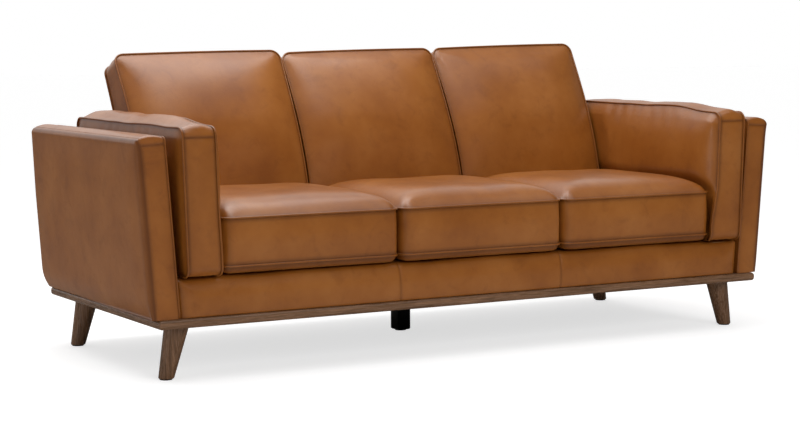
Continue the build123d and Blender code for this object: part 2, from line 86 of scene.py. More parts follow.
LIFT_AXIS = next(joint["axis"] for joint in frame["joints"] if joint["name"] == "back_cushion_left_lift")
RAKE = math.atan2(LIFT_AXIS[1], LIFT_AXIS[2])
DECK_TOP = corners("seat_deck")[1][2]
TRIM_TOP = corners("front_trim")[1][2]


# Sizes and colours that a user would change


def length(name, description, millimetres):
    """A length property, with its default given in millimetres."""
    return FloatProperty(name=name, description=description, default=millimetres * MM, unit="LENGTH")


def angle(name, description, degrees):
    """An angle property, with its default given in degrees."""
    return FloatProperty(name=name, description=description, default=math.radians(degrees), subtype="ANGLE")


def colour(name, description, code):
    """A colour property, with its default given as an sRGB hex code."""
    return FloatVectorProperty(name=name, description=description, default=linear(code), size=4,
                               min=0, max=1, subtype="COLOR")


class SofaSizes(bpy.types.PropertyGroup):
    """Sizes of the upholstery and the wood"""
    mesh_step: length("Mesh step", "Spacing of the cushions' grid lines", 13)
    piping: length("Piping", "Diameter of the piping cord with its leather", 5.6)
    seat_low_seam: length("Seat low seam", "Height of the seat's lower piping above the deck", 22)
    seat_high_seam: length("Seat high seam", "Height of the seat's upper piping above the deck", 149)
    seat_crown: length("Seat crown", "Rise of the seat's top above its upper piping", 54)
    seat_corner: length("Seat corner", "Corner radius of the seat cushions in plan", 34)
    back_front_inset: length("Back front inset", "Front piping behind the back cushion's front plane", 13)
    back_rear_inset: length("Back rear inset", "Rear piping ahead of the back cushion's rear plane", 7)
    back_crown: length("Back crown", "Rise of the back cushion's front above its piping", 38)
    back_belly: length("Back belly", "How far the back cushion's front swells out above the seat", 25)
    back_corner: length("Back corner", "Corner radius of the back cushions", 30)
    pad_crown: length("Pad crown", "Rise of the arm pad's top between its pipings", 18)
    pad_side_crown: length("Pad side crown", "Rise of the arm pad's inner side beside the sitter", 33)
    pad_arch: length("Pad arch", "Rise of the arm pad's inner top seam behind its front", 15)
    pad_corner: length("Pad corner", "Corner radius of the arm pads seen from the side", 25)
    arm_lean: angle("Arm lean", "Lean of the outer arm panels", 4.4)
    arm_roll: length("Arm roll", "Rounding of the arm panel's outer edge before its seam", 13)
    arm_foot: length("Arm foot", "Height of the arm panel's curved foot", 55)
    arm_tuck: length("Arm tuck", "How far the arm panel's foot curves in", 17)
    pad_lean: angle("Pad lean", "Lean of the inner arm pads", 2)
    rail_roll: length("Rail roll", "Rounding of the base front's upper edge", 24)
    foot_diameter: length("Foot diameter", "Diameter of the wooden legs at the floor", 43)


class SofaColours(bpy.types.PropertyGroup):
    """Colours of the leather, the wood and the stage"""
    leather_light: colour("Leather light", "Cognac leather where it is rubbed light", "#a6662a")
    leather_mid: colour("Leather mid", "Cognac leather over most of the sofa", "#9c5c20")
    leather_dark: colour("Leather dark", "Cognac leather in its darker clouds", "#90521a")
    leather_marbling: colour("Leather marbling", "Dark marbling left by the wax", "#6f3a10")
    # Drawn beside the seams, along the arms' front roll, on the seat cushions' undersides and in the arm gaps:
    # partly burnish, partly painted shade
    leather_burnish_and_shade: colour("Leather burnish", "Burnished leather beside the seams", "#4f2508")
    walnut_light: colour("Walnut light", "Light grain of the stained walnut", "#916c50")
    walnut_dark: colour("Walnut dark", "Dark grain of the stained walnut", "#5d422d")
    floor: colour("Floor", "Pale studio floor", "#cbcbcb")


# Materials

# Spacing in metres of a wave texture's bands at scale 1
WAVE_SPACING = 0.314


def set_node(tree, node, values=None, links=None):
    """Sets a node's properties (lower case) and socket values, and links its inputs."""
    for key, value in (values or {}).items():
        if isinstance(key, str) and key[0].islower():
            setattr(node, key, value)
        else:
            node.inputs[key].default_value = value
    for key, source in (links or {}).items():
        tree.links.new(source, node.inputs[key])


def add_node(tree, kind, values=None, links=None, stops=()):
    """Adds one node with its settings and links, and with its stops where it is a colour ramp."""
    node = tree.nodes.new(kind)
    set_node(tree, node, values, links)
    for index, (position, shade) in enumerate(stops):
        ramp = node.color_ramp.elements
        stop = ramp[index] if index < 2 else ramp.new(position)
        stop.position = position
        stop.color = shade
    return node


def new_material(name):
    """A new material, its node tree and its shader node."""
    made = bpy.data.materials.new(name)
    made.use_nodes = True
    tree = made.node_tree
    return made, tree, tree.nodes["Principled BSDF"]


def cognac_leather():
    """Semi-aniline cowhide, drum-dyed and waxed by hand.

    The eye sees faint clouds of dye a hand wide, fine dark marbling, dark edges beside the seams that are
    partly burnish and partly painted shade, and a soft satin gloss. Pores under a millimetre wide are drawn
    about three times coarser so that they show.
    """
    shades = bpy.context.scene.sofa_colours
    made, tree, shader = new_material("cognac_semi_aniline_leather")
    place = add_node(tree, "ShaderNodeTexCoord").outputs["Object"]
    clouds = add_node(tree, "ShaderNodeTexNoise", {"Scale": 1 / (170 * MM), "Detail": 4.0, "Roughness": 0.6},
                      {"Vector": place})
    dyed = add_node(tree, "ShaderNodeValToRGB", links={0: clouds.outputs["Fac"]}, stops=[
        (0.32, shades.leather_dark), (0.70, shades.leather_light), (0.50, shades.leather_mid)])
    marbling = add_node(tree, "ShaderNodeTexNoise", {"Scale": 1 / (55 * MM), "Detail": 9.0, "Roughness": 0.72,
                                                     "Distortion": 0.7}, {"Vector": place})
    marbled_share = add_node(tree, "ShaderNodeValToRGB", links={0: marbling.outputs["Fac"]},
                             stops=[(0.52, (0, 0, 0, 1)), (0.78, (0.45, 0.45, 0.45, 1))])
    marbled = add_node(tree, "ShaderNodeMix", {"data_type": "RGBA", 7: shades.leather_marbling},
                       {0: marbled_share.outputs["Color"], 6: dyed.outputs["Color"]})
    # The seam attribute mixes in the burnish colour: partly burnish, partly painted shade at the seams, on the
    # arms' front roll, under the seat cushions and in the arm gaps
    seam = add_node(tree, "ShaderNodeAttribute", {"attribute_name": "seam"})
    burnish_and_shade_mix = add_node(tree, "ShaderNodeMix", {"data_type": "RGBA", 7: shades.leather_burnish_and_shade},
                         {0: seam.outputs["Fac"], 6: marbled.outputs[2]})
    gloss = add_node(tree, "ShaderNodeMapRange", {"To Min": 0.28, "To Max": 0.44},
                     {"Value": marbling.outputs["Fac"]})
    pores = add_node(tree, "ShaderNodeTexVoronoi", {"Scale": 1 / (3.2 * MM), "feature": "SMOOTH_F1"},
                     {"Vector": place})
    creases = add_node(tree, "ShaderNodeTexNoise", {"Scale": 1 / (9 * MM), "Detail": 6.0, "Roughness": 0.7,
                                                    "Distortion": 0.6}, {"Vector": place})
    grain = add_node(tree, "ShaderNodeMath", {"operation": "ADD"},
                     {0: pores.outputs["Distance"], 1: creases.outputs["Fac"]})
    bump = add_node(tree, "ShaderNodeBump", {"Strength": 0.13, "Distance": 1.2 * MM},
                    {"Height": grain.outputs[0]})
    set_node(tree, shader, {"IOR": 1.46, "Coat Weight": 0.40, "Coat Roughness": 0.24},
             {"Base Color": burnish_and_shade_mix.outputs[2], "Roughness": gloss.outputs[0], "Normal": bump.outputs[0]})
    return made


def stained_walnut(along):
    """Planed walnut, stained brown and lacquered satin, with its grain along one axis.

    The eye sees soft growth lines a few millimetres wide, short pores and a clear narrow highlight.
    """
    shades = bpy.context.scene.sofa_colours
    made, tree, shader = new_material("stained_walnut_along_" + along.lower())
    place = add_node(tree, "ShaderNodeTexCoord").outputs["Object"]
    stretch = [1 / (9 * MM)] * 3
    stretch["XYZ".index(along)] = 1 / (160 * MM)
    drawn = add_node(tree, "ShaderNodeMapping", {"Scale": stretch}, {"Vector": place})
    growth = add_node(tree, "ShaderNodeTexNoise", {"Scale": 1.0, "Detail": 5.0, "Distortion": 0.8},
                      {"Vector": drawn.outputs[0]})
    fine = add_node(tree, "ShaderNodeTexNoise", {"Scale": 4.0, "Detail": 3.0}, {"Vector": drawn.outputs[0]})
    mixed = add_node(tree, "ShaderNodeMath", {"operation": "MULTIPLY_ADD", 1: 0.35},
                     {0: fine.outputs["Fac"], 2: growth.outputs["Fac"]})
    stain = add_node(tree, "ShaderNodeValToRGB", links={0: mixed.outputs[0]},
                     stops=[(0.46, shades.walnut_dark), (0.92, shades.walnut_light)])
    gloss = add_node(tree, "ShaderNodeMapRange", {"To Min": 0.20, "To Max": 0.34},
                     {"Value": fine.outputs["Fac"]})
    bump = add_node(tree, "ShaderNodeBump", {"Strength": 0.10, "Distance": 0.5 * MM},
                    {"Height": mixed.outputs[0]})
    set_node(tree, shader, {"IOR": 1.5},
             {"Base Color": stain.outputs[0], "Roughness": gloss.outputs[0], "Normal": bump.outputs[0]})
    return made


def streaked(name, dark, light, patch, roughness, metallic=0.0):
    """A plain material: two close shades in patches of the given size on each axis, and a light bump."""
    made, tree, shader = new_material(name)
    place = add_node(tree, "ShaderNodeTexCoord").outputs["Object"]
    drawn = add_node(tree, "ShaderNodeMapping", {"Scale": [1 / (size * MM) for size in patch]},
                     {"Vector": place})
    streaks = add_node(tree, "ShaderNodeTexNoise", {"Scale": 1.0, "Detail": 4.0},
                       {"Vector": drawn.outputs[0]})
    shade = add_node(tree, "ShaderNodeValToRGB", links={0: streaks.outputs["Fac"]},
                     stops=[(0.3, linear(dark)), (0.7, linear(light))])
    bump = add_node(tree, "ShaderNodeBump", {"Strength": 0.15, "Distance": 0.5 * MM},
                    {"Height": streaks.outputs["Fac"]})
    set_node(tree, shader, {"Roughness": roughness, "Metallic": metallic},
             {"Base Color": shade.outputs[0], "Normal": bump.outputs[0]})
    return made


def black_painted_beech():
    """Beech under satin paint. The eye sees an even black with faint upright grain."""
    return streaked("black_painted_beech", "#0d0b0a", "#1b1715", (6, 6, 90), 0.4)


def planed_pine():
    """Planed softwood, unfinished. The eye sees pale wood with long straight grain."""
    return streaked("planed_pine", "#a8835a", "#cfae80", (9, 9, 200), 0.7)


def zinc_plated_steel():
    """Bright zinc on rolled steel. The eye sees a cool grey metal with small cloudy patches."""
    return streaked("zinc_plated_steel", "#a9aaa8", "#c9c9c4", (4, 4, 4), 0.35, 1.0)


def moulded_nylon():
    """Moulded black nylon. The eye sees a fine matt grain."""
    return streaked("moulded_nylon", "#141414", "#20201f", (3, 3, 3), 0.55)


def waxed_thread():
    """Twisted polyester thread, waxed. The eye sees a warm brown a little lighter than the seams."""
    return streaked("waxed_thread", "#70401b", "#965c2b", (1, 1, 1), 0.6)


def woven_cloth(name, dark, light, thread):
    """Plain weave: two crossed sets of bands, one thread apart, drawn a few times wider so that they show."""
    made, tree, shader = new_material(name)
    place = add_node(tree, "ShaderNodeTexCoord").outputs["Object"]
    bands = WAVE_SPACING / (thread * MM)
    warp, weft = (add_node(tree, "ShaderNodeTexWave", {"Scale": bands, "bands_direction": way},
                           {"Vector": place}) for way in "XY")
    weave = add_node(tree, "ShaderNodeMath", {"operation": "MULTIPLY"},
                     {0: warp.outputs["Fac"], 1: weft.outputs["Fac"]})
    shade = add_node(tree, "ShaderNodeValToRGB", links={0: weave.outputs[0]},
                     stops=[(0.1, linear(dark)), (0.9, linear(light))])
    bump = add_node(tree, "ShaderNodeBump", {"Strength": 0.3, "Distance": 0.6 * MM},
                    {"Height": weave.outputs[0]})
    set_node(tree, shader, {"Roughness": 0.9}, {"Base Color": shade.outputs[0], "Normal": bump.outputs[0]})
    return made


def lining_cloth():
    """Brown-black cotton lining. The eye sees a dull close weave."""
    return woven_cloth("woven_cotton_lining", "#17130f", "#3a322b", 3)


def elastic_webbing():
    """Elastic strap of rubber and polypropylene. The eye sees a coarse grey-black weave."""
    return woven_cloth("woven_elastic_webbing", "#1c1b1a", "#4a4744", 4)


FINISHES = {
    "leather": cognac_leather,
    "black_wood": black_painted_beech,
    "timber": planed_pine,
    "steel": zinc_plated_steel,
    "plastic": moulded_nylon,
    "thread": waxed_thread,
    "lining": lining_cloth,
    "webbing": elastic_webbing,
    **{"walnut_" + along.lower(): partial(stained_walnut, along) for along in "XYZ"},
}


@cache
def material(key):
    """The material of that key, made the first time that it is asked for."""
    return FINISHES[key]()


# Surfaces as arrays

# Rates of the three sines in a wobble, and about what their heights add up to
WOBBLE_RATES = (1, 1.7, 2.9)
WOBBLE_HEIGHT = 1.9


def grid_faces(rows, columns, wrap_rows=False, wrap_columns=False):
    """Quads of a grid of rows x columns points, facing the side from which the columns run anticlockwise
    after the rows. A wrapped direction closes on itself."""
    index = np.arange(rows * columns).reshape(rows, columns)
    if wrap_rows:
        index = np.vstack([index, index[:1]])
    if wrap_columns:
        index = np.hstack([index, index[:, :1]])
    return np.stack([index[:-1, :-1], index[1:, :-1], index[1:, 1:], index[:-1, 1:]], -1).reshape(-1, 4)


def closed_rings(rings, sides):
    """Faces of rings of points, one ahead of another and each anticlockwise about that way, with both ends
    closed by a flat cap."""
    count = rings * sides
    around = grid_faces(rings, sides, wrap_columns=True)[:, ::-1].tolist()
    return around + [list(range(sides - 1, -1, -1)), list(range(count - sides, count))]


def unit(vectors):
    """Vectors scaled to length one."""
    return vectors / np.linalg.norm(vectors, axis=-1, keepdims=True)


def smooth_step(low, high, value):
    """0 at low, 1 at high, and 3t² - 2t³ between."""
    t = np.clip((value - low) / (high - low), 0, 1)
    return t * t * (3 - 2 * t)


def wobble(place, wavelength, seed):
    """Sum of three sines with seeded phases and uneven wavelengths, within about one either way."""
    phases = np.random.default_rng(seed).uniform(0, 2 * math.pi, 3)
    waves = [np.sin(2 * math.pi * place * rate / wavelength + phase) / rate
             for rate, phase in zip(WOBBLE_RATES, phases)]
    return sum(waves) / WOBBLE_HEIGHT


def tube(path, axis, radius, closed=True, sides=10):
    """Round cord along a path: a circle in the plane of a reference axis and of its cross product with the
    path's direction. An open cord's ends are closed by a flat cap."""
    ahead = np.roll(path, -1, 0) - np.roll(path, 1, 0) if closed else np.gradient(path, axis=0)
    ahead = unit(ahead)
    normal = unit(axis - ahead * (ahead @ axis)[:, None])
    side = np.cross(ahead, normal)
    turn = np.linspace(0, 2 * math.pi, sides, endpoint=False)
    circle = np.cos(turn)[:, None] * normal[:, None] + np.sin(turn)[:, None] * side[:, None]
    points = (path[:, None] + radius * circle).reshape(-1, 3)
    if closed:
        return points, grid_faces(len(path), sides, True, True)[:, ::-1].tolist()
    return points, closed_rings(len(path), sides)


def joined(meshes):
    """Several (points, faces) meshes as one."""
    points, faces, start = [], [], 0
    for mesh_points, mesh_faces in meshes:
        points.append(mesh_points)
        faces.extend((np.asarray(face) + start).tolist() for face in mesh_faces)
        start += len(mesh_points)
    return np.vstack(points), faces


def mirrored(points, faces):
    """The mesh on the other side of the sofa's middle, with its faces turned back outwards."""
    return points * np.array([-1.0, 1.0, 1.0]), [list(face)[::-1] for face in faces]


def make_piece(name, mesh_data, finish, body, slot, replaced=(), seam=None, creased=None, subdivide=0,
               fill=None):
    """Puts a surface into the scene: smooth faces, seam shade, creases, material and body. slot is not used."""
    points, faces = mesh_data
    mesh = bpy.data.meshes.new(name)
    mesh.from_pydata(np.asarray(points).tolist(), [], [list(map(int, face)) for face in faces])
    mesh.shade_smooth()
    mesh.materials.append(material(finish))
    if seam is not None:
        shade = mesh.attributes.new("seam", "FLOAT", "POINT")
        shade.data.foreach_set("value", np.ascontiguousarray(seam, dtype=np.float32))
    if creased is not None:
        ends = np.empty(2 * len(mesh.edges), dtype=np.int32)
        mesh.edges.foreach_get("vertices", ends)
        first, second = creased[ends.reshape(-1, 2)].T
        sharp = mesh.attributes.new("crease_edge", "FLOAT", "EDGE")
        sharp.data.foreach_set("value", ((first >= 0) & (first == second)).astype(np.float32))
    piece = bpy.data.objects.new(name, mesh)
    bpy.context.scene.collection.objects.link(piece)
    if subdivide:
        finer = piece.modifiers.new("Subdivision", "SUBSURF")
        finer.levels = finer.render_levels = subdivide
    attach(piece, body)
    if replaced:
        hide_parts(*replaced)


def cover(name, mesh_data, form, seam, body="base", replaced=(), fill=None, finish="leather",
          slot="cognac_leather"):
    """Makes a sewn cover from a boxed form: its seams stay sharp while the rest is subdivided once."""
    make_piece(name, mesh_data, finish, body, slot, replaced, seam, form.ring_of, 1, fill)


def piping_piece(name, cords, body="base"):
    """Makes the piping of a cover, a little darker than its leather."""
    make_piece(name, cords, "leather", body, "cognac_leather", seam=np.full(len(cords[0]), PIPING_SHADE))


# Boxed forms

# Grid lines in a corner, as shares of its radius, and beside a sewn line
CORNER_SHARES = np.array([0.3, 0.58, 0.82, 1.0])
SEAM_LINES = np.array([-9.0, -4.5, -2.0, 0.0, 2.0, 4.5, 9.0]) * MM
SEAM_REACH = 7 * MM
# Burnish and painted shade beside a seam, as strength and fading distance: a narrow dark line and a wide faint one
BURNISH_AND_SHADE = ((0.60, 4 * MM), (0.12, 24 * MM))
PIPING_SHADE = 0.28
# How far a cord stands out of its seam each way, in shares of its radius
PIPING_STAND = 0.3
# A strip counts as a side where its outward direction's share along u is above this
SIDEWAYS = 0.7


def side_lines(half, corner, step, seams=()):
    """Places of the grid lines across one side: even steps in the middle, finer in corners and at seams."""
    middle = np.linspace(corner - half, half - corner, max(3, round(2 * (half - corner) / step) + 1))
    ends = half - corner + corner * CORNER_SHARES
    lines = np.concatenate([-ends[::-1], middle, ends])
    for seam in seams:
        clear = np.abs(lines - seam) > step
        lines = np.concatenate([lines[clear], seam + SEAM_LINES])
    return np.sort(lines)


def outline_of(grid):
    """Indices round the edge of a grid, anticlockwise."""
    return np.concatenate([grid[:-1, 0], grid[-1, :-1], grid[:0:-1, -1], grid[0, :0:-1]])


def rounded_panel(u, v, half_u, half_v, corner):
    """Places on a rounded rectangle, and their distances to its edge.

    In each corner square the place (p, q) moves to (p sqrt(1 - q²/2), q sqrt(1 - p²/2)), which turns its
    outer edges into a quarter circle.
    """
    p = np.clip((np.abs(u) - half_u + corner) / corner, 0, 1)
    q = np.clip((np.abs(v) - half_v + corner) / corner, 0, 1)
    round_u = np.sign(u) * (np.minimum(np.abs(u), half_u - corner) + corner * p * np.sqrt(1 - q * q / 2))
    round_v = np.sign(v) * (np.minimum(np.abs(v), half_v - corner) + corner * q * np.sqrt(1 - p * p / 2))
    straight = np.minimum(half_u - np.abs(u), half_v - np.abs(v))
    in_corner = corner * (1 - np.sqrt(p * p + q * q - p * p * q * q))
    inset = np.where((p > 0) & (q > 0), in_corner, straight)
    return np.stack([round_u.ravel(), round_v.ravel()], 1), inset.ravel()


def boxed_form(half, corner, step, rows, u_seams=(), v_seams=()):
    """Closed boxed shape in its own axes u, v, w, as whole arrays.

    Two panels lie over a rounded rectangle at w = +half and -half, and rows of points join their edges.
    inset is the distance to the nearest seam.
    """
    half_u, half_v, half_w = half
    u, v = np.meshgrid(side_lines(half_u, corner, step, u_seams), side_lines(half_v, corner, step, v_seams),
                       indexing="ij")
    flat, inset = rounded_panel(u, v, half_u, half_v, corner)
    count = u.size
    front = np.arange(count).reshape(u.shape)
    rear = front + count
    edge = outline_of(front)
    strip = 2 * count + np.arange((rows - 1) * len(edge)).reshape(rows - 1, -1)
    rings = np.vstack([edge, strip, outline_of(rear)])
    depth = np.linspace(half_w, -half_w, rows + 1)[1:-1]
    points = np.zeros((2 * count + strip.size, 3))
    points[:count, :2] = points[count:2 * count, :2] = flat
    points[:count, 2] = half_w
    points[count:2 * count, 2] = -half_w
    points[2 * count:, :2] = np.tile(flat[edge], (rows - 1, 1))
    points[2 * count:, 2] = np.repeat(depth, len(edge))
    panel = grid_faces(*u.shape)
    band = np.stack([rings[:-1], rings[1:], np.roll(rings[1:], -1, 1), np.roll(rings[:-1], -1, 1)], -1)
    ring_of = np.full(len(points), -1)
    ring_of[rings[0]] = 0
    ring_of[rings[-1]] = 1
    return SimpleNamespace(
        points=points, faces=np.vstack([panel, panel[:, ::-1] + count, band.reshape(-1, 4)]),
        front=front.ravel(), rear=rear.ravel(), strip=strip, rings=rings, ring_of=ring_of,
        half=np.array(half), inset=np.concatenate([inset, inset, half_w - np.abs(points[2 * count:, 2])]))


def facing(form):
    """Outward direction of the strip at each outline point, in u and v."""
    ring = form.points[form.rings[0], :2]
    ahead = np.roll(ring, -1, 0) - np.roll(ring, 1, 0)
    return unit(np.stack([ahead[:, 1], -ahead[:, 0]], 1))


def seam_line(place, seam):
    """How near a place is to a sewn line: exp(-(distance / half the reach)²)."""
    return np.exp(-((place - seam) / (SEAM_REACH / 2)) ** 2)


def seam_shade(form, extra=0.0):
    """How dark the leather is drawn beside the seams, partly burnish and partly painted shade: a narrow dark line
    at the seams and a wide faint one beside them.
    """
    shade = sum(strength * np.exp(-form.inset / fade) for strength, fade in BURNISH_AND_SHADE)
    return np.clip(shade + extra, 0, 1)


def plump(form, panel, rise, reach):
    """Raises a panel from its edge inwards, by rise times the smooth step of its inset up to reach."""
    form.points[panel, 2] += rise * smooth_step(0, reach, form.inset[panel])


def rolled(form, roll):
    """Rounds the front panel's edge into the strip: within roll of the edge it drops along a quarter circle.
    roll is one radius, or one for each point of the panel."""
    roll = np.broadcast_to(roll, form.front.shape)
    near = np.clip(1 - form.inset[form.front] / roll, 0, 1)
    form.points[form.front, 2] -= roll * (1 - np.sqrt(1 - near * near))
    top = form.half[2]
    form.points[form.strip, 2] -= (form.points[form.strip, 2] + top) * roll[form.rings[0]] / (2 * top)


def pulled_in(form, sides, ends):
    """Draws the outline in between its corners: u by sides (1 - v²) and v by ends (1 - u²), with u and v in
    shares of their halves."""
    u, v = form.points[:, 0] / form.half[0], form.points[:, 1] / form.half[1]
    form.points[:, 0] -= u * sides * (1 - v * v)
    form.points[:, 1] -= v * ends * (1 - u * u)


def piping(points, form, axis, radius, above=None, rings=(0, -1)):
    """Cords along the seams, a little outside them, whole or only above a height. axis points from the rear
    panel to the front one."""
    cords = []
    for ring in rings:
        path = points[form.rings[ring]]
        ahead = unit(np.roll(path, -1, 0) - np.roll(path, 1, 0))
        outward = np.cross(ahead, axis)
        lift = axis if ring == 0 else -axis
        path = path + (PIPING_STAND * outward + PIPING_STAND * lift) * radius
        if above is not None:
            path = path[path[:, 2] > above]
        cords.append(tube(path, axis, radius, closed=above is None))
    return joined(cords)


# Filling of the cushions and pads

CLOTH_FRAMES = 20
CLOTH_PRESSURE = 4.0
CLOTH_EASE = 0.002
# How far the simulation may shift a panel's points sideways
PANEL_DRIFT = 4 * MM
# Neighbours each way over which the bow of a strip is evened out
BOW_NEIGHBOURS = 8
# Pleats in a full turn about a corner, their reach, and the width beside a seam where they run out
GATHER_COUNT = 18
GATHER_REACH = 70 * MM
GATHER_EDGE = 14 * MM


def blown_up(form):
    """The form's points after air pressure has blown it up, with both seams held and no gravity."""
    scene = bpy.context.scene
    mesh = bpy.data.meshes.new("pattern")
    mesh.from_pydata(form.points.tolist(), [], form.faces.tolist())
    pattern = bpy.data.objects.new("pattern", mesh)
    scene.collection.objects.link(pattern)
    held = pattern.vertex_groups.new(name="seams")
    held.add(np.flatnonzero(form.ring_of >= 0).tolist(), 1.0, "REPLACE")
    cloth = pattern.modifiers.new("Cloth", "CLOTH")
    cloth.settings.quality = 5
    cloth.settings.mass = 0.3
    cloth.settings.bending_stiffness = 12.0
    cloth.settings.use_pressure = True
    cloth.settings.uniform_pressure_force = CLOTH_PRESSURE
    cloth.settings.shrink_min = -CLOTH_EASE
    cloth.settings.effector_weights.gravity = 0
    cloth.settings.vertex_group_mass = "seams"
    cloth.collision_settings.use_collision = False
    for step in range(1, CLOTH_FRAMES + 1):
        scene.frame_set(step)
    evaluated = pattern.evaluated_get(bpy.context.evaluated_depsgraph_get())
    blown = np.empty(3 * len(form.points), dtype=np.float32)
    evaluated.data.vertices.foreach_get("co", blown)
    bpy.data.objects.remove(pattern)
    bpy.data.meshes.remove(mesh)
    scene.frame_set(1)
    return blown.reshape(-1, 3).astype(float)


def filled(form, front_crown, rear_crown, bulge, fullness):
    """The blown-up form, brought to its named heights.

    A panel point whose rise is a share s of the highest one stands at crown (1 - (1 - s)^fullness), so a
    higher fullness gives a flatter top with steeper sides. The strip's bow is evened out along the outline
    and scaled to the bulge at each outline point.
    """
    rise = blown_up(form) - form.points
    points = form.points.copy()
    for panel, crown, sign in ((form.front, front_crown, 1), (form.rear, rear_crown, -1)):
        height = sign * rise[panel, 2]
        share = np.clip(height / height.max(), 0, 1)
        points[panel, 2] += sign * crown * (1 - (1 - share) ** fullness)
        points[panel, :2] += np.clip(rise[panel, :2], -PANEL_DRIFT, PANEL_DRIFT)
    bow = np.linalg.norm(rise[form.strip], axis=-1)
    even = np.mean([np.roll(bow, shift, 1) for shift in range(-BOW_NEIGHBOURS, BOW_NEIGHBOURS + 1)], 0)
    points[form.strip, :2] += (even / even.max() * bulge)[..., None] * facing(form)
    return points


def bulges(form, sides, ends):
    """How far the strip swells at each outline point: one value on its two sides, another on its two ends."""
    return np.where(np.abs(facing(form)[:, 0]) > SIDEWAYS, sides, ends)


def gathers(u, v, half, corner):
    """Small pleats that fan out of one corner of a panel: sin(count times the angle), which fades as
    exp(-(distance / reach)²)."""
    along, across = half[0] - corner[0] * u, half[1] - corner[1] * v
    fade = np.exp(-(along ** 2 + across ** 2) / GATHER_REACH ** 2)
    fade = fade * smooth_step(0, GATHER_EDGE, np.minimum(along, across))
    return np.sin(GATHER_COUNT * np.arctan2(across, along)) * fade


# Wooden pieces

ROUND_SIDES = 48
WOOD_ROUNDING = 3 * MM
TRIM_NOSE = 10 * MM
TRIM_CORNER = 5 * MM
# Over the square root of 2, so that a circle this much larger covers the corners of a square
CORNER_COVER = 1.5


def trim_board(half_length, half_depth, width, low, high, nose, corner):
    """Front board of a bullnose frame: its profile carried from mitre to mitre.

    At an inset d from the nose the plan is a rounded rectangle with radius corner - d, so the nose turns the
    corner in an arc and the inner part meets the next board in a mitre. The profile is a flat board whose
    outer edges are quarter circles of the nose radius.
    """
    turn = np.linspace(0, math.pi / 2, 7)
    upper = np.stack([nose * (1 - np.sin(turn[::-1])), high - nose * (1 - np.cos(turn[::-1]))], 1)
    lower = np.stack([nose * (1 - np.sin(turn)), low + nose * (1 - np.cos(turn))], 1)
    profile = np.vstack([lower, upper, [[width, high], [width, low]]])
    inset, height = profile.T
    radius = np.maximum(corner - inset, 0)
    sweep = np.radians(np.linspace(45, 0, 6))
    arc_x = half_length - inset - radius + radius * np.sin(sweep[:, None])
    arc_y = -(half_depth - inset - radius) - radius * np.cos(sweep[:, None])
    run = np.linspace(1, -1, 40)[1:-1, None] * (half_length - inset - radius)
    x = np.vstack([arc_x, run, -arc_x[::-1]])
    y = np.vstack([arc_y, np.broadcast_to(inset - half_depth, run.shape), arc_y[::-1]])
    z = np.broadcast_to(height, x.shape)
    return np.stack([x, y, z], -1).reshape(-1, 3), closed_rings(*x.shape)


def turned_leg(top, foot, top_radius, foot_radius, rounding):
    """Tapered round leg: circles whose centre and radius run evenly from the top to a rounded foot."""
    arc = np.linspace(0, math.pi / 2, 5)
    low = np.stack([foot_radius - rounding * (1 - np.sin(arc)), rounding * (1 - np.cos(arc))], 1)
    side = np.linspace(0, 1, 16)[1:, None]
    height = top[2] - foot[2]
    high = low[-1] + side * (np.array([top_radius, height]) - low[-1])
    radius, rise = np.vstack([low, high]).T
    centre = foot + (rise / height)[:, None] * (top - foot)
    turn = np.linspace(0, 2 * math.pi, ROUND_SIDES, endpoint=False)
    circle = np.stack([np.cos(turn), np.sin(turn), np.zeros_like(turn)], 1)
    points = (centre[:, None] + radius[:, None, None] * circle).reshape(-1, 3)
    return points, closed_rings(len(radius), ROUND_SIDES)


def square_post(low, high, rounding):
    """Upright post: a square outline with rounded corners at each height, drawn in a little at both ends."""
    turn = np.linspace(0, 2 * math.pi, ROUND_SIDES, endpoint=False) + math.pi / ROUND_SIDES
    half = (high[:2] - low[:2]) / 2
    centre = (high[:2] + low[:2]) / 2
    direction = np.stack([np.cos(turn), np.sin(turn)], 1)
    heights = np.array([low[2], low[2] + rounding, high[2] - rounding, high[2]])
    shrink = np.array([rounding, 0, 0, rounding])
    square = np.clip(direction * CORNER_COVER, -1, 1) * (half - rounding)
    outline = square + rounding * direction
    plan = centre + outline[None] * (1 - shrink / half[0])[:, None, None]
    level = np.broadcast_to(heights[:, None, None], (len(heights), ROUND_SIDES, 1))
    points = np.concatenate([plan, level], -1).reshape(-1, 3)
    return points, closed_rings(len(heights), ROUND_SIDES)


def turned(mesh_data, quarter_turns, centre):
    """The mesh turned by quarter turns about an upright line."""
    points, faces = mesh_data
    angle_z = quarter_turns * math.pi / 2
    c, s = round(math.cos(angle_z)), round(math.sin(angle_z))
    spin = np.array([[c, -s, 0], [s, c, 0], [0, 0, 1]], float)
    return points @ spin.T + centre, faces


class SOFA_OT_legs(bpy.types.Operator):
    """Turns the four splayed walnut legs and cuts the black support leg"""
    bl_idname = "sofa.legs"
    bl_label = "Legs"

    def execute(self, context):
        foot_radius = context.scene.sofa.foot_diameter / 2
        for name in ("front_left_leg", "front_right_leg", "rear_left_leg", "rear_right_leg"):
            low, high = corners(name)
            top_radius = (high[1] - low[1]) / 2
            middle = (low[1] + high[1]) / 2
            out = 1 if "right" in name else -1
            reach = max(abs(low[0]), abs(high[0]))
            inner = min(abs(low[0]), abs(high[0]))
            top = np.array([out * (inner + top_radius), middle, high[2]])
            foot = np.array([out * (reach - foot_radius), middle, low[2]])
            made = turned_leg(top, foot, top_radius, foot_radius, WOOD_ROUNDING)
            make_piece(name + "_turned", made, "walnut_z", "base", "walnut_stained_wood", [name])
        made = square_post(*corners("centre_leg"), WOOD_ROUNDING)
        make_piece("support_leg", made, "black_wood", "base", "black_painted_wood", ["centre_leg"])
        return {"FINISHED"}


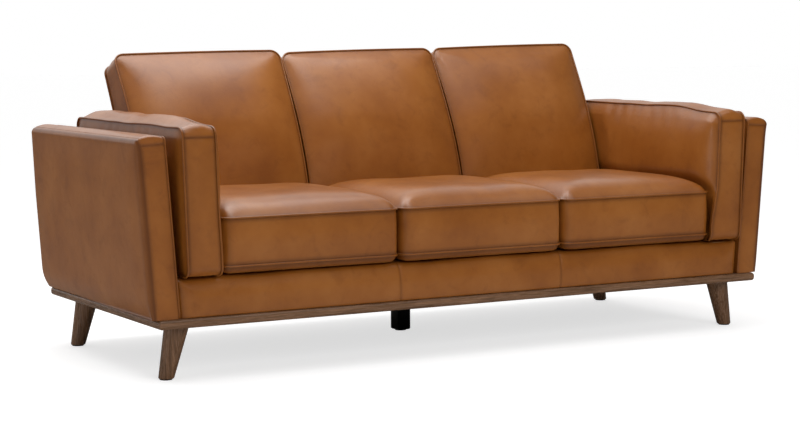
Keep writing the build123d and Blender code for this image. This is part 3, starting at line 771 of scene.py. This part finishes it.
class SOFA_OT_trim(bpy.types.Operator):
    """Planes the four bullnose boards round the base"""
    bl_idname = "sofa.trim"
    bl_label = "Base trim"

    def execute(self, context):
        low, high = corners("front_trim")
        rear_high = corners("rear_trim")[1]
        width = high[1] - low[1]
        half_length = corners("right_trim")[1][0]
        half_depth = (rear_high[1] - low[1]) / 2
        centre = np.array([0, (rear_high[1] + low[1]) / 2, 0])
        halves = {0: (half_length, half_depth), 1: (half_depth, half_length)}
        for turns, name in enumerate(("front_trim", "right_trim", "rear_trim", "left_trim")):
            board = trim_board(*halves[turns % 2], width, low[2], high[2], TRIM_NOSE, TRIM_CORNER)
            grain = "walnut_y" if turns % 2 else "walnut_x"
            make_piece(name + "_board", turned(board, turns, centre), grain, "base", "walnut_stained_wood",
                       [name])
        return {"FINISHED"}


# Upholstered base

# Gap below a piece that rests on another, and the room that the piping takes under a back cushion's foot
REST_GAP = 0.3 * MM
PIPING_GAP = 4 * MM
# Corner radius of the tight covers, and the share of burnish and painted shade at the seams of the base front and
# the arm panels
COVER_CORNER = 12 * MM
COVER_BURNISH_AND_SHADE = 0.8
# How far a sewn line sinks into a tight cover
SEAM_DEPTH = 2 * MM
# Distances from the ends of the base front where its dip begins and where it is full
DIP_START = 170 * MM
DIP_FULL = 70 * MM


def arm_inner_face(z):
    """Distance from the sofa's middle to an arm panel's inner face at height z."""
    low = corners("right_outer_arm_cover")[0]
    return low[0] + (z - low[2]) * math.tan(bpy.context.scene.sofa.arm_lean)


def panel_seams():
    """Places across the sofa of the sewn lines that are in line with the joints between the seat cushions."""
    low, high = corners("seat_cushion_middle_cover")
    return low[0], high[0]


class SOFA_OT_base_front(bpy.types.Operator):
    """Covers the front rail of the base in three leather panels with sunk seams"""
    bl_idname = "sofa.base_front"
    bl_label = "Base front"

    def execute(self, context):
        sizes = context.scene.sofa
        low, high = corners("front_rail_cover")
        seams = panel_seams()
        cut_off = sizes.rail_roll + COVER_CORNER
        half = np.array([high[0] - low[0], high[2] - low[2] + cut_off, high[1] - low[1]]) / 2
        form = boxed_form(half, COVER_CORNER, sizes.mesh_step, 8, u_seams=seams)
        plump(form, form.front, 8 * MM, 60 * MM)
        rolled(form, sizes.rail_roll)
        u, v, w = form.points.T
        end_dip = 4 * MM * smooth_step(half[0] - DIP_START, half[0] - DIP_FULL, np.abs(u))
        slack = (2 * MM * (wobble(u, 500 * MM, 3) - 1) - end_dip) * smooth_step(0, half[1], v)
        height = np.maximum(high[2] - half[1] + v + slack, TRIM_TOP + REST_GAP)
        across = u / half[0] * (arm_inner_face(height) - 1 * MM)
        sink = sum(seam_line(u, seam) for seam in seams)
        depth = (low[1] + high[1]) / 2 - w + 2 * MM + SEAM_DEPTH * sink
        points = np.stack([across, depth, height], 1)
        # The sunk seams are drawn darker: burnish and painted shade in their grooves
        cover("base_front_leather", (points, form.faces), form, seam_shade(form, 0.45 * sink) * COVER_BURNISH_AND_SHADE,
              replaced=["front_rail_cover", "front_rail_padding"], fill=0.9)
        return {"FINISHED"}


# Arms

# Direction of the arms' piping, from the rear panel to the front one
OUTWARD_X = np.array([1.0, 0, 0])
# Spacing of the arm panel's grid lines, and the rounding of its outer edge low on its front
ARM_STEP = 16 * MM
ARM_FRONT_EDGE = 4 * MM
# Backward slant of the arm panel's rear edge at its foot, above the seat and at its top
ARM_SLANTS = (19 * MM, 13 * MM, -3 * MM)
ARM_SLANT_MIDDLE = DECK_TOP + 170 * MM
# How far the cross seam at the top of each arm's front sinks, and how dark it is drawn: burnish and painted shade
# in its groove
CROSS_SEAM_DEPTH = 1.5 * MM
CROSS_SEAM_SHADE = 0.6
# Topstitching: spacing and half length of the stitches
STITCH_PITCH = 6 * MM
STITCH_SIZE = 2.3 * MM
# How far each pad's front foot spreads towards the seat
PAD_FLARES = {"left": 3 * MM, "right": 17 * MM}
# Crown of the pad's strip and of its outer side, and what a back cushion takes off its inner side's crown
PAD_BULGE = 7 * MM
PAD_OUTER_CROWN = 10 * MM
PAD_PRESSED = 0.4


def on_both_sides(make, name, mesh_data, *rest, replaced=(), **settings):
    """Makes a piece for the right arm and its mirror image for the left one."""
    for side, data in (("right", mesh_data), ("left", mirrored(*mesh_data))):
        nodes = {"replaced": [f"{side}_{node}" for node in replaced]} if replaced else {}
        make(f"{side}_{name}", data, *rest, **nodes, **settings)


def stitches(path, outward, pitch, size):
    """Row of thread stitches: flat pointed beads of eight faces, one each pitch along a path, lying on the
    side that outward gives for each point of the path."""
    along = np.concatenate([[0], np.cumsum(np.linalg.norm(np.diff(path, axis=0), axis=1))])
    places = np.arange(pitch, along[-1] - pitch, pitch)
    centre = np.stack([np.interp(places, along, path[:, axis]) for axis in range(3)], 1)
    normal = unit(np.stack([np.interp(places, along, outward[:, axis]) for axis in range(3)], 1))
    ahead = unit(np.gradient(centre, axis=0))
    side = np.cross(ahead, normal)
    tips = [ahead * size, side * size * 0.25, -ahead * size, -side * size * 0.25]
    lift = normal * size * 0.25
    bead = np.stack([centre + tip for tip in tips] + [centre + lift, centre - lift], 1)
    upper = [[tip, (tip + 1) % 4, 4] for tip in range(4)]
    lower = [[(tip + 1) % 4, tip, 5] for tip in range(4)]
    faces = (np.arange(len(places))[:, None, None] * 6 + np.array(upper + lower)).reshape(-1, 3)
    return bead.reshape(-1, 3), faces[:, ::-1].tolist()


def front_cross_seam(form, outward, seam):
    """How near each point is to the cross seam on the strip's front."""
    sink = np.zeros(len(form.points))
    sink[form.strip] = seam_line(form.points[form.strip, 1], seam) * smooth_step(0.5, 1, -outward[:, 0])
    return sink


class SOFA_OT_arm_panels(bpy.types.Operator):
    """Covers the two leaning outer arm panels, with a rolled and stitched outer seam and piping inside"""
    bl_idname = "sofa.arm_panels"
    bl_label = "Arm panels"

    def execute(self, context):
        sizes = context.scene.sofa
        low, high = corners("right_outer_arm_cover")
        size = high - low
        thickness = size[0] - size[2] * math.tan(sizes.arm_lean)
        cut_off = sizes.arm_roll + COVER_CORNER
        half = np.array([size[1], size[2] + cut_off, thickness]) / 2
        cross_seam = half[1] - COVER_CORNER - 4 * MM
        form = boxed_form(half, COVER_CORNER, ARM_STEP, 10, v_seams=(cross_seam,))
        outward = self.shape(form, sizes.arm_roll)
        sink = front_cross_seam(form, outward, cross_seam)
        points = self.place(form, sizes, low, high)
        points[:, 1] += CROSS_SEAM_DEPTH * sink
        # Painted shade along the rolled front edge of the arm, darker nearer its front, drawn with the burnish
        # colour
        roll_shade = np.zeros(len(points))
        near_front = smooth_step(0, -half[0] / 2, form.points[form.front, 0])
        roll_shade[form.front] = 0.22 * near_front * smooth_step(28 * MM, 5 * MM, form.inset[form.front])
        seam = seam_shade(form, roll_shade + CROSS_SEAM_SHADE * sink) * COVER_BURNISH_AND_SHADE
        on_both_sides(cover, "arm_panel_leather", (points, form.faces), form, seam,
                      replaced=["outer_arm_cover", "outer_arm_padding"], fill=0.95)
        cord = piping(points, form, OUTWARD_X, sizes.piping * 0.42, TRIM_TOP + 2 * MM, rings=(-1,))
        on_both_sides(piping_piece, "arm_panel_piping", cord)
        self.topstitch(form, points, outward)
        return {"FINISHED"}

    def shape(self, form, arm_roll):
        """Crowns both panels, rolls the outer edge and bows the strip, most along the top. Gives the strip's
        outward directions."""
        half = form.half
        plump(form, form.front, 3 * MM, 90 * MM)
        plump(form, form.rear, -2 * MM, 60 * MM)
        to_front, to_top = form.points[form.front, 0] + half[0], half[1] - form.points[form.front, 1]
        above_front = smooth_step(-20 * MM, 40 * MM, to_top - to_front)
        rolled(form, ARM_FRONT_EDGE + (arm_roll - ARM_FRONT_EDGE) * above_front)
        outward = facing(form)
        bow = np.sin(np.clip((form.points[form.strip, 2] + half[2]) / (2 * half[2]), 0, 1) * math.pi)
        crown = 2.5 * MM + 6.5 * MM * smooth_step(0.5, 1, outward[:, 1])
        form.points[form.strip, :2] += (bow * crown)[..., None] * outward
        return outward

    def place(self, form, sizes, low, high):
        """The form's points on the leaning arm: its foot curves in and its rear edge slants."""
        half = form.half
        u, v, w = form.points.T
        inner_rise = 6 * MM * smooth_step(half[1] - 50 * MM, half[1], v) * (0.5 - w / (2 * half[2]))
        height = np.maximum(high[2] - half[1] + v + inner_rise, TRIM_TOP + REST_GAP)
        above = np.clip((height - low[2]) / sizes.arm_foot, 0, 1)
        at_front = np.zeros(len(u))
        at_front[form.front] = smooth_step(0, 22 * MM, form.inset[form.front])
        at_rear = smooth_step(-half[2], half[2], w)
        tucked = at_front + (at_rear - at_front) * smooth_step(-half[0] / 2, half[0] / 2, u)
        across = arm_inner_face(height) + half[2] + w - sizes.arm_tuck * (1 - above) ** 2 * tucked
        slant = np.interp(height, (low[2], ARM_SLANT_MIDDLE, high[2]), ARM_SLANTS)
        slant = slant * smooth_step(0, half[0], u)
        return np.stack([across, (low[1] + high[1]) / 2 + u + slant, height], 1)

    def topstitch(self, form, points, outward):
        """Row of stitches up the front and along the top, beside the outer seam."""
        ring = form.rings[1]
        kept = (points[ring][:, 2] > TRIM_TOP + 6 * MM) & (outward[:, 0] < 0.3)
        normal = np.stack([np.zeros(len(ring)), outward[:, 0], outward[:, 1]], 1)
        row = stitches((points[ring] + 0.2 * MM * normal)[kept], normal[kept], STITCH_PITCH, STITCH_SIZE)
        on_both_sides(make_piece, "arm_panel_stitching", row, "thread", "base", "cognac_leather")


class SOFA_OT_arm_pads(bpy.types.Operator):
    """Sews the two inner arm pads: crowned sides, a bowed strip, a cross seam in front, and piping"""
    bl_idname = "sofa.arm_pads"
    bl_label = "Arm pads"

    def execute(self, context):
        sizes = context.scene.sofa
        low, high = corners("right_inner_arm_cover")
        lean = math.tan(sizes.pad_lean)
        thickness = (high[0] - low[0]) - (high[2] - low[2]) * lean
        half = np.array([high[1] - low[1] - 10 * MM, high[2] - low[2] - sizes.pad_crown,
                         thickness - 3 * MM]) / 2
        front_seam = half[1] - sizes.pad_corner - 1 * MM
        form = boxed_form(half, sizes.pad_corner, sizes.mesh_step, 8, v_seams=(front_seam,))
        outward = facing(form)
        bulge = np.where(outward[:, 1] < -0.5, 0.5 * MM, PAD_BULGE)
        bulge = bulge + (sizes.pad_crown - PAD_BULGE) * smooth_step(0.5, 1.0, outward[:, 1])
        u, v, w = filled(form, PAD_OUTER_CROWN, sizes.pad_side_crown, bulge, 2.2).T
        sink = front_cross_seam(form, outward, front_seam)
        inside = smooth_step(half[2], -half[2], w)
        arch = sizes.pad_arch * inside * smooth_step(-half[0], -half[0] + 250 * MM, u)
        arch = arch + 2 * MM * wobble(u, 400 * MM, 7)
        height = low[2] + half[1] + v + arch * smooth_step(half[1] - 100 * MM, half[1], v)
        depth = (low[1] + high[1]) / 2 + u + 1 * MM + CROSS_SEAM_DEPTH * sink
        w[form.rear] = np.maximum(w, -self.widest(half[2], sizes.pad_side_crown, depth, height))[form.rear]
        across = low[0] + thickness / 2 + (height - low[2]) * lean + w
        at_front = inside * smooth_step(low[1] + 34 * MM, low[1] + 14 * MM, depth)
        # The cross seam is drawn darker: burnish and painted shade in its groove
        seam = seam_shade(form, CROSS_SEAM_SHADE * sink)
        for side, flare in PAD_FLARES.items():
            spread = flare * at_front * smooth_step(DECK_TOP + 180 * MM, DECK_TOP + 40 * MM, height)
            self.sew(side, form, np.stack([across - spread, depth, height], 1), seam, sizes.piping / 2)
        return {"FINISHED"}

    def widest(self, half_width, side_crown, depth, height):
        """How far the inner side may swell: little beside the seat, and less beside a back cushion."""
        above_seat = smooth_step(DECK_TOP + 140 * MM, DECK_TOP + 220 * MM, height)
        back_foot = corners("back_cushion_right_cover")[0][1]
        pressed = PAD_PRESSED * smooth_step(back_foot, back_foot + 100 * MM, depth)
        return half_width + 2 * MM + side_crown * above_seat * (1 - pressed)

    def sew(self, side, form, points, seam, radius):
        """The leather and piping of one pad, mirrored for the left side."""
        cords = piping(points, form, OUTWARD_X, radius)
        leather = (points, form.faces)
        if side == "left":
            cords, leather = mirrored(*cords), mirrored(*leather)
        cover(side + "_arm_pad_leather", leather, form, seam, fill=0.8,
              replaced=[side + "_inner_arm_cover", side + "_inner_arm_foam"])
        piping_piece(side + "_arm_pad_piping", cords)


class SOFA_OT_arm_gaps(bpy.types.Operator):
    """Covers the battens between the arm panels and the arm pads in leather, down to the seat deck"""
    bl_idname = "sofa.arm_gaps"
    bl_label = "Arm gaps"

    def execute(self, context):
        low, high = corners("right_arm_spacer")
        half = np.array([high[1] - low[1], high[2] - DECK_TOP, high[0] - low[0]]) / 2
        form = boxed_form(half, COVER_CORNER, 20 * MM, 6)
        bow = 1 - (form.points[form.strip, 2] / half[2]) ** 2
        form.points[form.strip, :2] += (3 * MM * bow)[..., None] * facing(form)
        u, v, w = form.points.T
        height = np.maximum(high[2] - half[1] + v, DECK_TOP + REST_GAP)
        pad_face = low[0] + (height - low[2]) * math.tan(context.scene.sofa.pad_lean)
        across = pad_face + (w + half[2]) / (2 * half[2]) * (arm_inner_face(height) - pad_face)
        points = np.stack([across, (low[1] + high[1]) / 2 + u, height], 1)
        # The seam shade here is painted shade where the wrap meets the arm panel and the pad
        on_both_sides(cover, "arm_gap_leather", (points, form.faces), form, seam_shade(form),
                      replaced=["arm_spacer"])
        return {"FINISHED"}


# Back frame covers and deck

# Half the thickness that the outside back and the lining are drawn with before they are mapped
OUTSIDE_BACK_HALF = 30 * MM
LINING_HALF = 7 * MM
# Depth of the hollows that the straps leave in the deck, and the width over which they turn by one radian
DECK_HOLLOW = 1.5 * MM
DECK_WAVE = 20 * MM


class SOFA_OT_back_covers(bpy.types.Operator):
    """Covers the back frame: leather outside and over its top, lining cloth inside"""
    bl_idname = "sofa.back_covers"
    bl_label = "Back covers"

    def execute(self, context):
        inside_low, inside_high = corners("inside_back_cover")
        self.cover_outside(inside_low[1], context.scene.sofa.piping / 2)
        self.line_inside(inside_low, inside_high)
        return {"FINISHED"}

    def cover_outside(self, inside_depth, piping_radius):
        """Leather from the slope of the back frame, over its top and down its rear, in three panels."""
        low, high = corners("outside_back_cover")
        half = np.array([(high[0] - low[0]) / 2, (high[2] - low[2]) / 2, OUTSIDE_BACK_HALF])
        seams = panel_seams()
        form = boxed_form(half, COVER_CORNER, 18 * MM, 6, u_seams=seams)
        plump(form, form.front, 6 * MM, 120 * MM)
        u, v, w = form.points.T
        height = low[2] + half[1] + v
        slope = inside_depth + 6 * MM + np.maximum(height - DECK_TOP, 0) * math.tan(RAKE)
        depth = slope + (w + half[2]) / (2 * half[2]) * (high[1] - 2 * MM - slope)
        sink = sum(seam_line(u, seam) for seam in seams)
        points = np.stack([-u, depth - SEAM_DEPTH * sink, height], 1)
        # The sunk seams are drawn darker: burnish and painted shade in their grooves
        cover("outside_back_leather", (points, form.faces), form, seam_shade(form, 0.5 * sink),
              replaced=["outside_back_cover", "outside_back_padding"], fill=0.9)
        cord = piping(points, form, np.array([0, 1.0, 0]), piping_radius, low[2] + 15 * MM, rings=(0,))
        piping_piece("outside_back_piping", cord)

    def line_inside(self, low, high):
        """Padded lining on the slope of the back frame, behind the loose cushions."""
        length_up = (high[2] - low[2]) / math.cos(RAKE)
        half = np.array([(high[0] - low[0]) / 2, length_up / 2, LINING_HALF])
        form = boxed_form(half, COVER_CORNER, 20 * MM, 3)
        u, v, w = form.points.T
        up = v + half[1]
        depth = low[1] + 8.5 * MM + up * math.sin(RAKE) - w * math.cos(RAKE)
        points = np.stack([u, depth, low[2] + up * math.cos(RAKE) + w * math.sin(RAKE)], 1)
        cover("inside_back_lining", (points, form.faces), form, None, fill=0.6, finish="lining",
              slot="lining_cloth", replaced=["inside_back_cover", "inside_back_padding"])


class SOFA_OT_deck(bpy.types.Operator):
    """Stretches the cloth deck under the seat cushions"""
    bl_idname = "sofa.deck"
    bl_label = "Seat deck"

    def execute(self, context):
        low, high = corners("seat_deck")
        form = boxed_form((high - low) / 2, 10 * MM, 25 * MM, 3)
        inset = smooth_step(0, 60 * MM, form.inset[form.front])
        waves = 1 + 0.5 * np.sin(form.points[form.front, 0] / DECK_WAVE)
        form.points[form.front, 2] -= DECK_HOLLOW * inset * waves
        points = form.points + (low + high) / 2
        cover("seat_deck_cloth", (points, form.faces), form, None, fill=0.3, finish="lining",
              slot="lining_cloth", replaced=["seat_deck"])
        return {"FINISHED"}


# Loose cushions

# How dark painted shade makes the underside of a seat cushion below its lower piping
UNDERSIDE_SHADE = 0.25
# How far each loose back cushion stands up at its left and right end, past its plain solid
BACK_RISES = {"left": (4 * MM, 14 * MM), "middle": (5 * MM, 17 * MM), "right": (16 * MM, 30 * MM)}
# Corners of the back cushions that are gathered, as the signs of their two sides
BACK_GATHERS = {"left": (-1, 1), "middle": (-1, -1), "right": (-1, 1)}
# The free end of an outer back cushion: its shift outwards at the seat, above the arm and at the top
EAR_SHIFTS = (-9 * MM, 0.0, 6 * MM)
# Distance below the seat's top, along the slope, where the front of a back cushion begins to swell
BELLY_START = 70 * MM
# Share of its crown that the front of a back cushion keeps behind the seat
HIDDEN_CROWN = 0.2


def sew_cushion(body, form, points, axis, seam, fill):
    """Makes the leather and piping of one loose cushion on its own body."""
    cover(body + "_leather", (points, form.faces), form, seam, body, [body + "_cover", body + "_foam"], fill)
    piping_piece(body + "_piping", piping(points, form, axis, bpy.context.scene.sofa.piping / 2), body)


class SOFA_OT_seat_cushions(bpy.types.Operator):
    """Sews and fills the three loose seat cushions"""
    bl_idname = "sofa.seat_cushions"
    bl_label = "Seat cushions"

    def execute(self, context):
        for seed, place in enumerate(PLACES):
            self.cushion(context.scene.sofa, place, seed)
        return {"FINISHED"}

    def cushion(self, sizes, place, seed):
        """One boxed cushion between its neighbours, with its rear edge along the back's lean."""
        body = f"seat_cushion_{place}"
        low, high = corners(body + "_cover")
        seams = (sizes.seat_low_seam, sizes.seat_high_seam)
        half = np.array([(high[0] - low[0]) / 2 - 2.5 * MM, (high[1] - low[1]) / 2 - 40 * MM,
                         (seams[1] - seams[0]) / 2])
        form = boxed_form(half, sizes.seat_corner, sizes.mesh_step, 9)
        pulled_in(form, 3 * MM, 4 * MM)
        points = filled(form, sizes.seat_crown, 0, bulges(form, 1.5 * MM, 5 * MM), 2.4)
        near = np.clip(1 - form.inset[form.rear] / seams[0], 0, 1)
        points[form.rear, 2] = -half[2] - (seams[0] - REST_GAP) * np.sqrt(1 - near * near)
        u, v, w = points.T
        on_top = smooth_step(0, 60 * MM, form.inset) * (w > 0)
        creases = 1.5 * MM * wobble(u + 0.3 * v, 400 * MM, 20 + seed) * on_top
        height = DECK_TOP + sum(seams) / 2 + w + creases
        front = low[1] - 3 * MM
        rear = high[1] - 2 * MM - (high[2] - np.minimum(height, high[2])) * math.tan(RAKE)
        depth = front + (v + half[1]) / (2 * half[1]) * (rear - front)
        # Painted shade on the underside below the lower piping
        underside_shade = UNDERSIDE_SHADE * (w < -half[2] - 1 * MM)
        points = np.stack([(low[0] + high[0]) / 2 + u, depth, height], 1)
        sew_cushion(body, form, points, np.array([0, 0, 1.0]), seam_shade(form, underside_shade), 0.75)


class SOFA_OT_back_cushions(bpy.types.Operator):
    """Sews and fills the three loose back cushions"""
    bl_idname = "sofa.back_cushions"
    bl_label = "Back cushions"

    def execute(self, context):
        for seed, place in enumerate(PLACES):
            self.cushion(context.scene.sofa, place, seed)
        return {"FINISHED"}

    def cushion(self, sizes, place, seed):
        """One boxed cushion on the back's slope: v runs up the slope and w out of its front. Its front
        bellies out above the seat, and its foot is cut to stand level."""
        body = f"back_cushion_{place}"
        low, high = corners(body + "_cover")
        length_up = (high[2] - low[2]) / math.cos(RAKE)
        thickness = (high[1] - low[1] - length_up * math.sin(RAKE)) / math.cos(RAKE)
        rings = (sizes.back_front_inset, thickness - sizes.back_rear_inset)
        half = np.array([(high[0] - low[0]) / 2 - 2 * MM, length_up / 2, (rings[1] - rings[0]) / 2])
        form = boxed_form(half, sizes.back_corner, sizes.mesh_step, 8)
        pulled_in(form, 3 * MM, -2 * MM)
        u, v, w = filled(form, sizes.back_crown, 14 * MM, bulges(form, 1.5 * MM, 7 * MM), 1.7).T
        behind = (rings[0] + rings[1]) / 2 - w
        foot = np.maximum(behind, 0) * math.tan(RAKE)
        rise = np.interp(u / half[0], (-1, 1), BACK_RISES[place])
        up = foot + (v + half[1]) / (2 * half[1]) * (length_up + rise - foot)
        frame_top = self.up_slope("inside_back_cover", low)
        arm_top = self.up_slope("right_inner_arm_cover", low)
        seat_line = (sizes.seat_high_seam + sizes.seat_crown) / math.cos(RAKE)
        free = smooth_step(seat_line - BELLY_START, seat_line + 190 * MM, up)
        crown_kept = HIDDEN_CROWN + (1 - HIDDEN_CROWN) * free
        behind = np.where(behind < rings[0], rings[0] - (rings[0] - behind) * crown_kept, behind)
        past_frame = smooth_step(frame_top + 30 * MM, frame_top + 100 * MM, up)
        behind = np.minimum(behind, thickness - 0.5 * MM + 12 * MM * past_frame)
        creases = 1.5 * MM * wobble(u + 0.4 * v, 500 * MM, 40 + seed) * (form.inset > 30 * MM)
        pleats = 2 * MM * gathers(u, v, half, BACK_GATHERS[place]) * (form.inset > 0)
        behind = behind - (creases + pleats) * free
        share_up = np.clip((up - seat_line + BELLY_START) / (length_up - seat_line + BELLY_START), 0, 1)
        belly = sizes.back_belly * np.sin(math.pi * share_up ** 0.8)
        behind = behind - belly * smooth_step(rings[1], rings[0], behind)
        slope_up = np.array([0, math.sin(RAKE), math.cos(RAKE)])
        ahead = np.array([0, -math.cos(RAKE), math.sin(RAKE)])
        points = np.array([0, low[1], low[2]]) + up[:, None] * slope_up - behind[:, None] * ahead
        ear = self.ear(place, u / half[0], up, (seat_line, arm_top, length_up))
        points[:, 0] = (low[0] + high[0]) / 2 + u + ear
        points[:, 2] = np.maximum(points[:, 2], DECK_TOP + PIPING_GAP)
        sew_cushion(body, form, points, ahead, seam_shade(form), 0.7)

    def up_slope(self, node, low):
        """Distance up the slope from the cushion's foot to the top of a node."""
        return (corners(node)[1][2] - low[2]) / math.cos(RAKE)

    def ear(self, place, across, up, heights):
        """Sideways shift of an outer cushion's free end: in beside the arm, and out at the top corner."""
        end = {"left": -1, "middle": 0, "right": 1}[place]
        return end * np.interp(up, heights, EAR_SHIFTS) * smooth_step(0.2, 1, end * across)


# Hidden frame and stage

FRAME_FINISHES = {
    "frame_timber": "timber", "zinc_steel": "steel", "glide_plastic": "plastic", "webbing": "webbing",
    "lining_cloth": "lining",
}


class SOFA_OT_hidden_frame(bpy.types.Operator):
    """Gives the frame's own timber, straps, screws and glides their materials"""
    bl_idname = "sofa.hidden_frame"
    bl_label = "Hidden frame"

    def execute(self, context):
        slot_of = {part["node"]: part["material_slot"] for part in frame["record"]["subparts"]}
        for name, node in frame["nodes"].items():
            if node.hide_render:
                continue
            finish = material(FRAME_FINISHES[slot_of[name]])
            for slot in node.material_slots:
                slot.material = finish
        return {"FINISHED"}


# The photograph's camera: place in metres, yaw from +Y to +X, pitch downwards, roll, and lens in millimetres
CAMERA_PLACE = (-2.9176, -4.9770, 0.9039)
CAMERA_YAW = math.radians(29.997)
CAMERA_PITCH = math.radians(5.237)
CAMERA_ROLL = math.radians(-0.178)
CAMERA_LENS = 85.94
CAMERA_SENSOR = 36
FLOOR_REACH = 40.0
# Glow of the floor for the camera, and the greys that it shows to diffuse and to glossy light
FLOOR_GLOW = 0.67
FLOOR_DIFFUSE = (0.85, 0.85, 0.85, 1)
FLOOR_GLOSSY = (0.20, 0.19, 0.18, 1)
WHITE = (1, 1, 1, 1)


class SOFA_OT_stage(bpy.types.Operator):
    """Sets the pale floor, the soft lights and the camera"""
    bl_idname = "sofa.stage"
    bl_label = "Stage"

    def execute(self, context):
        self.floor(context)
        self.surroundings(context)
        self.ceiling()
        self.softbox("overhead_softbox", (-0.5, 0.5, 2.7), (-0.2, 0.3, 0), (2.2, 2.6), 47)
        self.softbox("front_softbox", (0.2, -4.8, 2.2), (0, 0, 0.4), (4.0, 1.6), 76, gleams=False)
        self.softbox("left_softbox", (-4.2, -0.8, 0.9), (-1.0, 0, 0.4), (2.0, 0.9), 12)
        self.camera(context)
        return {"FINISHED"}

    def floor(self, context):
        """Wide flat floor that the camera sees as lit paper: pale to diffuse light and dark in gloss."""
        mesh = bpy.data.meshes.new("studio_floor")
        signs = ((-1, -1), (1, -1), (1, 1), (-1, 1))
        mesh.from_pydata([(x * FLOOR_REACH, y * FLOOR_REACH, 0) for x, y in signs], [], [(0, 1, 2, 3)])
        made, tree, shader = new_material("pale_studio_paper")
        seen = add_node(tree, "ShaderNodeLightPath")
        glow = add_node(tree, "ShaderNodeMapRange", {"To Min": 0.0, "To Max": FLOOR_GLOW},
                        {"Value": seen.outputs["Is Camera Ray"]})
        lit = add_node(tree, "ShaderNodeMix", {"data_type": "RGBA", 6: context.scene.sofa_colours.floor,
                                               7: FLOOR_DIFFUSE}, {0: seen.outputs["Is Diffuse Ray"]})
        paper = add_node(tree, "ShaderNodeMix", {"data_type": "RGBA", 7: FLOOR_GLOSSY},
                         {0: seen.outputs["Is Glossy Ray"], 6: lit.outputs[2]})
        set_node(tree, shader, {"Emission Color": WHITE, "Roughness": 0.9, "Specular IOR Level": 0.0},
                 {"Emission Strength": glow.outputs[0], "Base Color": paper.outputs[2]})
        mesh.materials.append(made)
        floor = bpy.data.objects.new("studio_floor", mesh)
        context.scene.collection.objects.link(floor)

    def surroundings(self, context):
        """White background for the camera. The dome that lights is bright above and behind, dim in front."""
        world = bpy.data.worlds.new("studio")
        context.scene.world = world
        world.use_nodes = True
        tree = world.node_tree
        tree.nodes.clear()
        place = add_node(tree, "ShaderNodeTexCoord").outputs["Generated"]
        way = add_node(tree, "ShaderNodeSeparateXYZ", links={0: place})
        high = add_node(tree, "ShaderNodeMapRange", {
            "From Min": -0.1, "From Max": 0.9, "To Min": 0.10, "To Max": 0.40}, {"Value": way.outputs["Z"]})
        back = add_node(tree, "ShaderNodeMapRange", {
            "From Min": 0.2, "From Max": 0.85, "To Min": 0.4, "To Max": 4.6}, {"Value": way.outputs["Y"]})
        strength = add_node(tree, "ShaderNodeMath", {"operation": "MULTIPLY"},
                            {0: high.outputs[0], 1: back.outputs[0]})
        dome = add_node(tree, "ShaderNodeBackground", links={"Strength": strength.outputs[0]})
        white = add_node(tree, "ShaderNodeBackground", {"Color": WHITE, "Strength": 1.0})
        seen = add_node(tree, "ShaderNodeLightPath")
        mixed = add_node(tree, "ShaderNodeMixShader", links={
            0: seen.outputs["Is Camera Ray"], 1: dome.outputs[0], 2: white.outputs[0]})
        add_node(tree, "ShaderNodeOutputWorld", links={0: mixed.outputs[0]})
        context.scene.view_settings.view_transform = "Standard"

    def ceiling(self):
        """Even light from a wide bright ceiling."""
        light = bpy.data.lights.new("bright_ceiling", "SUN")
        light.energy = 0.82
        light.angle = math.radians(55)
        lamp = bpy.data.objects.new("bright_ceiling", light)
        lamp.rotation_euler = (math.radians(12), math.radians(5), 0)
        bpy.context.scene.collection.objects.link(lamp)

    def softbox(self, name, place, target, size, power, gleams=True):
        """Rectangular soft light at a place, turned towards a target. gleams: whether reflections show it."""
        light = bpy.data.lights.new(name, "AREA")
        light.shape = "RECTANGLE"
        light.size, light.size_y = size
        light.energy = power
        lamp = bpy.data.objects.new(name, light)
        lamp.visible_glossy = gleams
        lamp.location = place
        lamp.rotation_euler = (Vector(target) - Vector(place)).to_track_quat("-Z", "Y").to_euler()
        bpy.context.scene.collection.objects.link(lamp)

    def camera(self, context):
        """Camera at the photograph's place."""
        flat = math.cos(CAMERA_PITCH)
        ahead = Vector((math.sin(CAMERA_YAW) * flat, math.cos(CAMERA_YAW) * flat, -math.sin(CAMERA_PITCH)))
        level = Vector((math.cos(CAMERA_YAW), -math.sin(CAMERA_YAW), 0))
        right = math.cos(CAMERA_ROLL) * level + math.sin(CAMERA_ROLL) * level.cross(ahead)
        data = bpy.data.cameras.new("photo_camera")
        data.lens = CAMERA_LENS
        data.sensor_width = CAMERA_SENSOR
        camera = bpy.data.objects.new("photo_camera", data)
        axes = Matrix((right, right.cross(ahead), -ahead)).transposed()
        camera.matrix_world = Matrix.Translation(CAMERA_PLACE) @ axes.to_4x4()
        context.scene.collection.objects.link(camera)
        context.scene.camera = camera


class SOFA_PT_pieces(bpy.types.Panel):
    """Lists the sofa's pieces in the sidebar"""
    bl_label = "Sofa"
    bl_idname = "SOFA_PT_pieces"
    bl_space_type = "VIEW_3D"
    bl_region_type = "UI"
    bl_category = "Sofa"

    def draw(self, context):
        for operator in OPERATORS:
            self.layout.operator(operator.bl_idname)


OPERATORS = (
    SOFA_OT_legs, SOFA_OT_trim, SOFA_OT_base_front, SOFA_OT_arm_panels, SOFA_OT_arm_pads, SOFA_OT_arm_gaps,
    SOFA_OT_back_covers, SOFA_OT_deck, SOFA_OT_seat_cushions, SOFA_OT_back_cushions, SOFA_OT_hidden_frame,
    SOFA_OT_stage,
)
CLASSES = (SofaSizes, SofaColours, *OPERATORS, SOFA_PT_pieces)


def register():
    for entry in CLASSES:
        bpy.utils.register_class(entry)
    bpy.types.Scene.sofa = PointerProperty(type=SofaSizes)
    bpy.types.Scene.sofa_colours = PointerProperty(type=SofaColours)


def unregister():
    del bpy.types.Scene.sofa_colours
    del bpy.types.Scene.sofa
    for entry in reversed(CLASSES):
        bpy.utils.unregister_class(entry)


def main():
    """Builds every piece in order."""
    register()
    for operator in OPERATORS:
        group, name = operator.bl_idname.split(".")
        getattr(getattr(bpy.ops, group), name)()
    bpy.context.view_layer.update()


if __name__ == "__main__":
    main()
